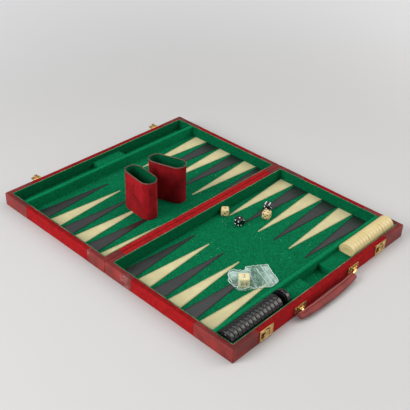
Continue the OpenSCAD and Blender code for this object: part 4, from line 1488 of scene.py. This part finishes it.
@dataclass
class Lock:
    """The two locks on the base: plate, raised guard, case, slider and spring."""

    y: float = 154.0
    half_y: float = 15.5
    guard: Four = (6.8, 11.6, 6.2, 19.5)
    frame_w: float = 1.3
    proud: float = 0.45
    slit: Four = (-3.0, 5.0, 19.2, 22.6)
    lip: float = 0.9
    well: Four = (-12.4, -2.2, 7.4, 17.4)
    slot: Four = (-11.0, -4.0, 11.3, 14.3)
    spring: Pair = (-13.6, -8.0)
    spring_z: float = 12.8
    wire_r: float = 0.2
    turns: int = 9
    around: int = 14
    shut_share: float = 0.25
    rivets: tuple[Pair, ...] = ((-13, 5.6), (13, 5.6), (13, 21.8))
    bracket_y: float = 72.0
    bracket_rivet_y: float = 9.7

    def trim(self) -> None:
        """Builds the raised borders, the guard, the lips of the slits and the dark wells on both plates,
        whose dark brass is painted shade.
        """
        low, high = (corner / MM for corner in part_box("latch_plates"))
        face, lip, w, half, z0, z1 = high.x, self.lip, self.frame_w, self.half_y, low.z, high.z
        a, b, c, d = self.slit
        rims = [(-half, half, z0, z0 + w), (-half, half, z1 - w, z1), (-half, w - half, z0, z1),
                (half - w, half, z0, z1), (a - lip, b + lip, c - lip, c), (a - lip, a, c, d),
                (b, b + lip, c, d)]
        (a, b, c, d), (e, f, g, h) = self.well, self.slot
        sunk = [(a, b, c, g), (a, b, h, d), (a, e, g, h), (f, b, g, h)]
        shape, wells = Shape(), Shape()
        for side in (-1, 1):
            middle = side * self.y
            for made, parts, back, front, bevel in ((shape, rims, 0.2, self.proud, 0.2),
                                                    (shape, [self.guard], 0.4, 1.2, 1.0),
                                                    (wells, sunk, 0.2, 0.06, 0.02)):
                for t0, t1, low_z, high_z in parts:
                    made.block((face - back, middle + t0, low_z), (face + front, middle + t1, high_z), bevel)
        # the wells' floors in dark brass paint the shade inside the recesses
        settle_on(wells.piece("lock_well_shade", Palette.shade_brass), "base", "brass")
        settle_on(shape.piece("lock_trim", Palette.brass), "base", "brass")

    def spring_behind(self, name: str, side: int) -> None:
        """Winds the spring behind one slider.

        Args:
            name: left or right.
            side: -1 for the left lock, 1 for the right one.
        """
        low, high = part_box("latch_springs")
        x, r = (low.x + high.x) / 2, (high.z - low.z) / 2 - 0.00025
        start, end = ((side * self.y + t) * MM for t in self.spring)
        steps = self.turns * self.around
        turn = 2 * math.pi / self.around
        path = [Vector((x + r * math.cos(turn * i), start + (end - start) * i / steps,
                        self.spring_z * MM + r * math.sin(turn * i))) for i in range(steps + 1)]
        piece = tubes(f"lock_spring_{name}", [path], self.wire_r, 6, Palette.steel)
        settle_on(piece, "base", "steel", "latch_springs")
        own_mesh(piece)

    def build(self) -> None:
        """Builds both locks, and the rivets on the base."""
        brass_copy("latch_plates", "lock_plates", 0.3, "base")
        self.trim()
        dress_node("latch_cases", Palette.dark_steel)
        for name, side in (("left", -1), ("right", 1)):
            self.spring_behind(name, side)
            body = f"latch_slider_{name}"
            brass_copy(body, f"lock_slider_{name}", 0.25, body)
        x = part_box("latch_plates")[1].x / MM
        places = [(x, side * self.y + t, z) for side in (-1, 1) for t, z in self.rivets]
        places += [(x - 0.2, side * self.bracket_y + t, 14) for side in (-1, 1)
                   for t in (-self.bracket_rivet_y, self.bracket_rivet_y)]
        Rivets("base", 1).build(places)


@dataclass
class Hasps:
    """The two hasps on the lid, with their plates, pins and rivets."""

    y: float = 154.0
    rivet_y: float = 5.5
    rivet_z: float = 15.0
    plate_out: float = 1.0

    def build(self) -> None:
        """Builds the plates, the flaps, the pins and the rivets."""
        brass_copy("hasp_plates", "hasp_hinge_plates", 0.25, "lid")
        dress_node("hasp_pins", Palette.steel)
        for name in ("left", "right"):
            brass_copy(f"hasp_{name}", f"hasp_flap_{name}", 0.2, f"hasp_{name}")
        face = PLANES.fold - (PLANES.end_u + self.plate_out)
        Rivets("lid", -1).build([(face, side * self.y + t, self.rivet_z) for side in (-1, 1)
                                 for t in (-self.rivet_y, self.rivet_y)])


@dataclass
class DiceCup:
    """One dice cup: a suede shell with a rolled rim, its felt and its bottom."""

    name: str
    place: Four
    suede: Finish = Palette.suede
    length: float = 76.0
    width: float = 34.0
    height: float = 80.0
    wall: float = 1.6
    felt: float = 1.0
    floor: float = 2.0
    band: float = 2.2
    sides: int = 120
    bent_from: float = 50.0
    bent_over: float = 30.0

    def oval(self, inset: float, z: float, wave: float | None = None) -> list[Vector]:
        """Points round the cup at a height.

        Args:
            inset: how far in from the outside.
            z: the height above what the cup stands on.
            wave: share of the rim's waviness, or None for what the height has.

        Returns:
            The points in metres.
        """
        r = self.width / 2
        half = self.length / 2 - r
        side = 2 * half + math.pi * r
        if wave is None:
            wave = max(0.0, (z - self.bent_from) / self.bent_over)
        matrix = PLANES.turned(self.place)
        points = []
        for i in range(self.sides):
            d = 2 * side * i / self.sides
            way, d = (1.0, d) if d < side else (-1.0, d - side)
            a = math.pi / 2 + max(0.0, d - 2 * half) / r
            nx, ny = way * math.cos(a), way * math.sin(a)
            x, y = way * (half - min(d, 2 * half)) + r * nx, r * ny
            bend = wave * noise.noise(Vector((x * 0.035, y * 0.06, self.place[0] * 0.1)))
            deep = inset + 0.5 * abs(bend)
            points.append(matrix @ (Vector((x - nx * deep, y - ny * deep, z + 0.9 * bend - 0.5 * wave)) * MM))
        return points

    def shell(self) -> None:
        """Builds the suede shell and the cut edge on its rim."""
        w, h, edge = self.wall, self.height, self.height - self.band
        outer = [(w, 0.2), (0.7, 0.05), (0.15, 0.5), (0.0, 1.4)]
        outer += [(0.12 * math.sin(math.pi * z / h), z) for z in (8, 18, 30, 42, 54, 64, 70, 74)]
        outer += [(0.0, edge - 0.5), (0.0, edge + 0.1)]
        band = [(0.05, edge + 0.1), (0.05, h - 0.9), (0.35, h - 0.3), (0.8, h), (1.2, h - 0.3), (w, h - 1.0)]
        shape = Shape().skin([self.oval(inset, z) for inset, z in outer])
        shape.skin([self.oval(inset, z, 1.0) for inset, z in band], 1)
        shape.skin([self.oval(w, z) for z in (h - 1.0, h - 8, 40, 0.2)])
        piece = shape.piece(f"{self.name}_suede", self.suede, Palette.card, outward=True, angle=50)
        with edited(piece.data, merge=2e-5) as made:
            LOG.info("%s has %d points with its rim closed", piece.name, len(made.verts))
        settle_on(crumpled(piece, 0.1, 50, 1.0), self.name, "suede", f"{self.name}_shell")

    def lining(self) -> None:
        """Builds the felt inside, turned so that its floor faces up."""
        w, f, top = self.wall, self.felt, self.height - 0.9
        lined = [(w, self.floor), (w, 40), (w, top - 1), (w + 0.3 * f, top), (w + 0.7 * f, top)]
        lined += [(w + f, z) for z in (top - 0.6, 60, 40, 20, self.floor + f + 1)]
        lined.append((w + 2 * f, self.floor + f))
        rings = [self.oval(inset + 0.02, z) for inset, z in lined]
        middle = sum(rings[-1], Vector()) / len(rings[-1])
        rings += [[p.lerp(middle, share) for p in rings[-1]] for share in (0.3, 0.6, 0.999)]
        felt = Shape().skin(rings).piece(f"{self.name}_felt", Palette.cup_felt, angle=60)
        with edited(felt.data, merge=1e-5) as made:
            bmesh.ops.recalc_face_normals(made, faces=made.faces[:])
            low = min(made.faces, key=lambda face: abs(abs(face.normal.z) - 1) + face.calc_center_median().z)
            if low.normal.z < 0:
                bmesh.ops.reverse_faces(made, faces=made.faces[:])
        settle_on(crumpled(felt, 0.15, 60, 2.0), self.name, "cup_felt", f"{self.name}_lining")

    def build(self) -> None:
        """Builds the shell, the lining, the bottom and the seam."""
        self.shell()
        self.lining()
        dress_node(f"{self.name}_base", self.suede)
        seam = [self.oval(-0.05, z)[self.sides * 7 // 8] for z in steps_between(2, self.height - 3, 4)]
        thread = Stitching(Palette.suede_thread, pitch=3.0, thread_r=0.35)
        settle_on(thread.run(f"{self.name}_seam", seam), self.name, "suede")


def round_cube(name: str, side: float, corner: float, matrix: Matrix, finish: Finish,
               cuts: int = 14) -> bpy.types.Object:
    """A cube with round edges and corners.

    Args:
        name: the object's name.
        side: its side in millimetres.
        corner: the radius of its edges.
        matrix: its place, in metres.
        finish: its finish.
        cuts: stretches along each edge.

    Returns:
        The object.
    """
    made = bmesh.new()
    bmesh.ops.create_cube(made, size=side)
    bmesh.ops.subdivide_edges(made, edges=made.edges[:], cuts=cuts, use_grid_fill=True)
    core = side / 2 - corner
    for vertex in made.verts:
        inner = Vector([min(core, max(-core, c)) for c in vertex.co])
        away = vertex.co - inner
        if away.length > 1e-6:
            vertex.co = inner + away.normalized() * corner
    made.transform(matrix @ Matrix.Scale(MM, 4))
    return Shape().take(made).piece(name, finish)


@dataclass
class Die:
    """One die with its dimpled pips."""

    name: str
    place: Four
    numbers: tuple[int, int, int]
    body: Finish
    pip: Finish
    slot: str
    side: float = 15.0
    corner: float = 3.0
    pip_r: float = 1.5
    pip_step: float = 3.9
    pip_sink: float = 0.45

    @staticmethod
    def spots(number: int) -> list[tuple[int, int]]:
        """The places of a number's pips, as steps from the middle of the face."""
        spots = [(0, 0)] if number % 2 else []
        spots += [(-1, 1), (1, -1)] if number > 1 else []
        spots += [(1, 1), (-1, -1)] if number > 3 else []
        return spots + ([(-1, 0), (1, 0)] if number == 6 else [])

    def build(self) -> None:
        """Builds the die and cuts its pips."""
        matrix = PLANES.turned(self.place, self.side / 2)
        die = round_cube(self.name + "_body", self.side, self.corner, matrix, self.body)
        top, front, right = self.numbers
        faces = [(top, "X", 0), (7 - top, "X", 180), (front, "X", 90), (7 - front, "X", -90),
                 (right, "Y", 90), (7 - right, "Y", -90)]
        ball_r = (self.pip_r ** 2 + self.pip_sink ** 2) / (2 * self.pip_sink)
        cutter = Shape()
        bowl = arc((0.0, 0.0), ball_r, -90, 90, 16)
        bowl[0], bowl[-1] = (0.0, bowl[0][1]), (0.0, bowl[-1][1])
        for number, axis, angle in faces:
            face = matrix @ Matrix.Rotation(math.radians(angle), 4, axis)
            for s, t in self.spots(number):
                spot = Vector((s * self.pip_step, t * self.pip_step,
                               self.side / 2 + ball_r - self.pip_sink)) * MM
                cutter.turned(bowl, face @ Matrix.Translation(spot), 28)
        tool = cutter.piece(self.name + "_cutter", self.pip, outward=True)
        modified(die, "BOOLEAN", object=tool, operation="DIFFERENCE", solver="EXACT",
                 material_mode="TRANSFER")
        bpy.data.objects.remove(tool)
        settle_on(smoothed(die, 30), self.name, self.slot, self.name)


class Number(Enum):
    """The numbers on the doubling cube and the way each face looks, as (text, turn about Z, tilt)."""

    TOP = ("2", 0, 0)
    FRONT = ("64", 0, 90)
    RIGHT = ("8", 90, 90)
    BACK = ("4", 180, 90)
    LEFT = ("16", 270, 90)
    BOTTOM = ("32", 0, 180)


@dataclass
class DoublingCube:
    """The doubling cube with a number on each face."""

    place: Four = (184.7, -86.2, 4.4, 46.2)
    side: float = 18.5
    corner: float = 2.4
    text_size: float = 11.5

    def build(self) -> None:
        """Builds the cube and its printed numbers."""
        matrix = PLANES.turned(self.place, self.side / 2)
        cube = round_cube("cube_body", self.side, self.corner, matrix, Palette.ivory)
        settle_on(cube, "doubling_cube", "ivory_plastic", "doubling_cube")
        shape = Shape()
        for number in Number:
            text, turn, tilt = number.value
            flat = self.text_mesh(text)
            face = (matrix @ Matrix.Rotation(math.radians(turn), 4, "Z") @ Matrix.Rotation(
                math.radians(tilt), 4, "X") @ Matrix.Translation((0, 0, self.side / 2 * MM - 0.00003)))
            shape.add([face @ v.co for v in flat.vertices], [tuple(p.vertices) for p in flat.polygons])
            bpy.data.meshes.remove(flat)
        settle_on(shape.piece("cube_numbers", Palette.ink, outward=True), "doubling_cube", "ivory_plastic")

    def text_mesh(self, text: str) -> bpy.types.Mesh:
        """A number as a mesh, centred on its own origin."""
        curve = bpy.data.curves.new(f"number_{text}", "FONT")
        curve.body = text
        curve.size = self.text_size * MM
        curve.extrude = 0.00005
        curve.align_x = curve.align_y = "CENTER"
        curve.resolution_u = 4
        written = new_object(curve.name, curve)
        mesh = plain_mesh(written)
        bpy.data.objects.remove(written)
        bpy.data.curves.remove(curve)
        return mesh


@dataclass
class ZipBag:
    """The clear bag that lies round the doubling cube."""

    cube: DoublingCube
    outline: tuple[Pair, ...] = (
        (159, -98), (175, -101.5), (189, -104), (198, -92.5), (206.5, -79.5), (214, -66), (221.4, -59),
        (220.3, -37.3), (193.5, -25), (178.5, -16.7), (171, -27.5), (155.5, -48.5), (161.5, -57),
        (155, -64.5), (146, -69), (145, -78), (147, -85), (155.5, -89.6))
    folds: tuple[tuple[Pair, ...], ...] = (
        ((171.4, -28.7), (217.8, -49.2)), ((171.0, -40.2), (211.2, -56.0)), ((172.7, -57.9), (205.3, -78.1)),
        ((155.5, -49.2), (172.3, -54.9)), ((146.5, -80.1), (162.0, -67.5)),
        ((149, -86), (158, -92), (168, -96)))
    low: float = 3.95
    flat: float = 1.3
    drape: float = 7.0
    rings: int = 34
    under: int = 7
    pitch: float = 1.6
    bead_r: float = 0.65
    hole: float = 0.002

    def edge(self) -> list[Vector]:
        """The outline with evenly spaced points and soft corners."""
        points: list[Vector] = []
        for start, end in zip(self.outline, self.outline[1:] + self.outline[:1]):
            points += [Vector(p) for p in between(start, end, self.pitch)[:-1]]
        for _ in range(2):
            after = points[1:] + points[:1]
            points = [(points[i - 1] + 2 * p + after[i]) / 4 for i, p in enumerate(points)]
        return points

    def height(self, place: Vector) -> float:
        """The film's height above the bag's lower sheet at a place."""
        local = place - Vector(self.cube.place[:2])
        local.rotate(Matrix.Rotation(-math.radians(self.cube.place[3]), 2))
        beyond = Vector([max(0.0, abs(part) - self.cube.side / 2) for part in local]).length
        share = max(0.0, 1 - beyond / self.drape)
        tent = self.cube.side * (1.0 if beyond < 0.4 else share ** 1.8)
        folds = noise.noise(Vector((place.x * 0.11, place.y * 0.05, 3.0)))
        ridge = (1 - min(1.0, abs(folds) * 5)) * 1.6 * (1 - share)
        return self.flat + tent + ridge + 0.4 * noise.noise(Vector((place.x * 0.2, place.y * 0.2, 9.0)))

    def build(self) -> None:
        """Builds the film and the lines of its zip, folds and edge."""
        edge = self.edge()
        middle = Vector(self.cube.place[:2])
        rings = []
        for k in range(self.rings, -1, -1):
            places = [middle + (point - middle) * max(self.hole, 1 - k / self.rings) for point in edge]
            rise = min(1.0, k / 3)
            rings.append([PLANES.place(*p, self.low + 0.15 + (self.height(p) - 0.15) * rise) for p in places])
        for k in range(self.under + 1):
            share = max(self.hole, 1 - k / self.under)
            rings.append([PLANES.place(*(middle + (p - middle) * share), self.low) for p in edge])
        piece = Shape().skin(rings).piece("bag_film", Palette.film, outward=True, angle=60)
        settle_on(piece, "doubling_cube", "clear_film", "cube_bag")
        seam = [tuple(middle + (p - middle) * 0.985) for p in edge[::3]]
        paths = [self.laid(line) for line in (*self.folds, seam + seam[:1])]
        settle_on(tubes("bag_zip", paths, self.bead_r, 8, Palette.zip_film), "doubling_cube", "clear_film")

    def laid(self, line: Sequence[Pair]) -> list[Vector]:
        """A line on the board laid over the film, as points in metres."""
        places = [place for ends in zip(line, line[1:]) for place in between(*ends, self.pitch)]
        return [PLANES.place(*place, self.low + self.height(Vector(place)) + 0.1) for place in places]


@dataclass
class CheckerRow:
    """A row of checkers on edge in the compartment, or a single one that leans."""

    name: str
    finish: Finish
    slot: str
    count: int
    pitch: float
    start_y: float
    break_after: tuple[int, ...] = ()
    gap: float = 0.8
    lean: float = 0.0
    middle_u: float = 261.3
    diameter: float = 32.6
    thickness: float = 8.0
    edge: float = 0.8
    sink: float = 0.5
    clear: float = 0.02

    def disc(self) -> bpy.types.Mesh:
        """One checker with a sunk ring and a sunk middle on both faces, its axis along Y."""
        r, t, e = self.diameter / 2, self.thickness / 2, self.edge
        steps = ((r, self.sink), (9.0, self.sink), (8.2, 0.1), (7.6, 0.0), (5.2, 0.0), (4.8, self.sink),
                 (3.4, self.sink), (3.0, 0.0))
        upper = [(r - inset, t - deep) for inset, deep in steps] + arc((r - e, t - e), e, 90, 0)
        profile = upper + [(radius, -height) for radius, height in reversed(upper)]
        shape = Shape().turned(profile, Matrix.Rotation(math.radians(90), 4, "X"), 64)
        piece = shape.piece(f"{self.name}_disc", self.finish, outward=True, angle=40)
        mesh = piece.data
        bpy.data.objects.remove(piece)
        return mesh

    def build(self) -> None:
        """Sets the checkers in their row."""
        turn, r = math.radians(self.lean), self.diameter / 2
        z = PLANES.floor_z + r
        if self.lean:
            z = PLANES.floor_z + r * math.cos(turn) + self.thickness / 2 * math.sin(turn) + self.clear
        tree = Growth(f"{self.name}_tree", {
            "Count": self.count, "Pitch": self.pitch * MM, "Gap": -self.gap * MM, "Lean": -turn})
        line = tree.node("GeometryNodeMeshLine", {"mode": "OFFSET"}, {
            "Count": tree["Count"], "Start Location": PLANES.place(self.middle_u, self.start_y, z),
            "Offset": tree.vector(y=tree["Pitch"])})
        index = tree.node("GeometryNodeInputIndex")
        broken: Operand = 0.0
        for after in self.break_after:
            broken = (index > after - 0.5) + broken
        shift = tree.vector(y=tree["Gap"] * broken)
        spread = tree.node("GeometryNodeSetPosition", None, {"Geometry": line, "Offset": shift})
        discs = tree.node("GeometryNodeInstanceOnPoints", None, {
            "Points": spread, "Instance": tree["Geometry"], "Rotation": tree.vector(tree["Lean"])})
        piece = tree.grow(f"{self.name}_row", self.disc(), discs, self.finish)
        settle_on(smoothed(piece, 40), self.name, self.slot, self.name)


@dataclass
class Studio:
    """The table, the lamps and the camera, whose place x is counted from the fold."""

    camera_at: RGB = (0.8017, -0.8438, 0.8143)
    right: RGB = (0.71724891, 0.69632731, 0.02612031)
    forward: RGB = (-0.56793264, 0.60589372, -0.55708646)
    lens: float = 67.07
    table: float = 8.0
    sky: Four = (0.95, 0.97, 1.0, 1.0)
    sky_strength: float = 0.36

    def lamp(self, name: str, place: RGB, size: Pair, watts: float, colour: RGB = (1.0, 1.0, 1.0)) -> None:
        """Hangs one area lamp that looks at the case.

        Args:
            name: its name.
            place: its place.
            size: its width and height.
            watts: its power.
            colour: its colour.
        """
        data = bpy.data.lights.new(name, "AREA")
        data.shape = "RECTANGLE"
        data.size, data.size_y = size
        data.energy = watts
        data.color = colour
        lamp = new_object(name, data)
        lamp.location = place
        lamp.rotation_euler = (-Vector(place)).to_track_quat("-Z", "Y").to_euler()

    def build(self) -> None:
        """Sets up the floor, the lamps, the world and the camera."""
        half = self.table / 2
        corners = [Vector((x * half, y * half, 0)) for x, y in ((-1, -1), (1, -1), (1, 1), (-1, 1))]
        Shape().add(corners, [(0, 1, 2, 3)]).piece("table", Palette.table)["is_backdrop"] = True
        self.lamp("key", (-0.6, -2.1, 1.35), (1.3, 1.3), 58)
        self.lamp("overhead", (0.1, 0.4, 2.4), (2.2, 2.2), 20)
        self.lamp("window", (1.2, 1.5, 1.35), (1.3, 1.3), 20, (1.0, 0.95, 0.88))
        self.lamp("fill", (2.1, 0.2, 0.7), (1.2, 0.8), 5)
        world = bpy.data.worlds.new("studio")
        world.use_nodes = True
        background = world.node_tree.nodes["Background"]
        background.inputs["Color"].default_value = self.sky
        background.inputs["Strength"].default_value = self.sky_strength
        bpy.context.scene.world = world
        data = bpy.data.cameras.new("camera")
        data.lens = self.lens
        data.sensor_width = 36.0
        data.clip_start = 0.01
        camera = new_object("camera", data)
        right, forward = Vector(self.right).normalized(), Vector(self.forward).normalized()
        turn = Matrix((right, right.cross(forward), -forward)).transposed().to_4x4()
        place = Vector(self.camera_at) + Vector((PLANES.fold * MM, 0, 0))
        camera.matrix_world = Matrix.Translation(place) @ turn
        bpy.context.scene.camera = camera
        bpy.context.scene.view_settings.view_transform = "Standard"


def save_sizes() -> None:
    """Gathers the boxes of the CAD model and of the visual model, and does not write them."""
    boxes = {name: [list(corner) for corner in bounds]
             for name, bounds in (("cad", CAD_BOUNDS), ("visual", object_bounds()))}


def main() -> None:
    """Builds the case, its pieces and the studio in order."""
    logging.basicConfig(level=logging.INFO, format="%(message)s")
    Studio().build()
    for side, outer, fold in ((Side.BASE, 81.0, 66.0), (Side.LID, 68.0, 45.0)):
        covering = Covering(side, outer, fold)
        covering.leather()
        covering.velvet()
    Lining(Side.BASE, ((-79.0, -18.5), (35.0, 91.8)), "base_tray_steps").build()
    Lining(Side.LID, ((-29.0, 40.0),), "lid_tray_block").build()
    Points(Side.BASE, 1).build()
    Points(Side.LID, 0).build()
    for side in Side:
        dress_node(f"{side.body}_boards", Palette.plywood)
        dress_node(f"{side.body}_panel", Palette.hardboard)
    for part in (HingeStrip(), Handle(), Brackets(), Lock(), Hasps()):
        part.build()
    DiceCup("cup_front", (-94.7, -60.8, 3.9, -5)).build()
    # cup_back takes the darker suede as painted shade from cup_front
    DiceCup("cup_back", (-97.0, 8.0, 3.4, 19), Palette.shaded_suede).build()
    cream = (Palette.cream, Palette.dark_pip, "cream_plastic")
    black = (Palette.black, Palette.white_pip, "black_plastic")
    Die("die_cream_left", (23.2, 42, 3.4, -47), (1, 2, 3), *cream).build()
    Die("die_cream_right", (84, 90.5, 3.4, 16.5), (4, 5, 1), *cream).build()
    Die("die_black_front", (63, 38, 3.4, 0), (1, 4, 2), *black).build()
    Die("die_black_back", (68.5, 111, 3.9, 20), (6, 3, 5), *black).build()
    cube = DoublingCube()
    cube.build()
    ZipBag(cube).build()
    CheckerRow("cream_checkers", Palette.cream, "cream_plastic", 15, -8.15, 212.2, (4, 9)).build()
    CheckerRow("black_checkers", Palette.black, "black_plastic", 14, 8.5, -212.2).build()
    CheckerRow("loose_checker", Palette.black, "black_plastic", 1, 0.0, -83.4, lean=10).build()
    save_sizes()


if __name__ == "__main__":
    main()
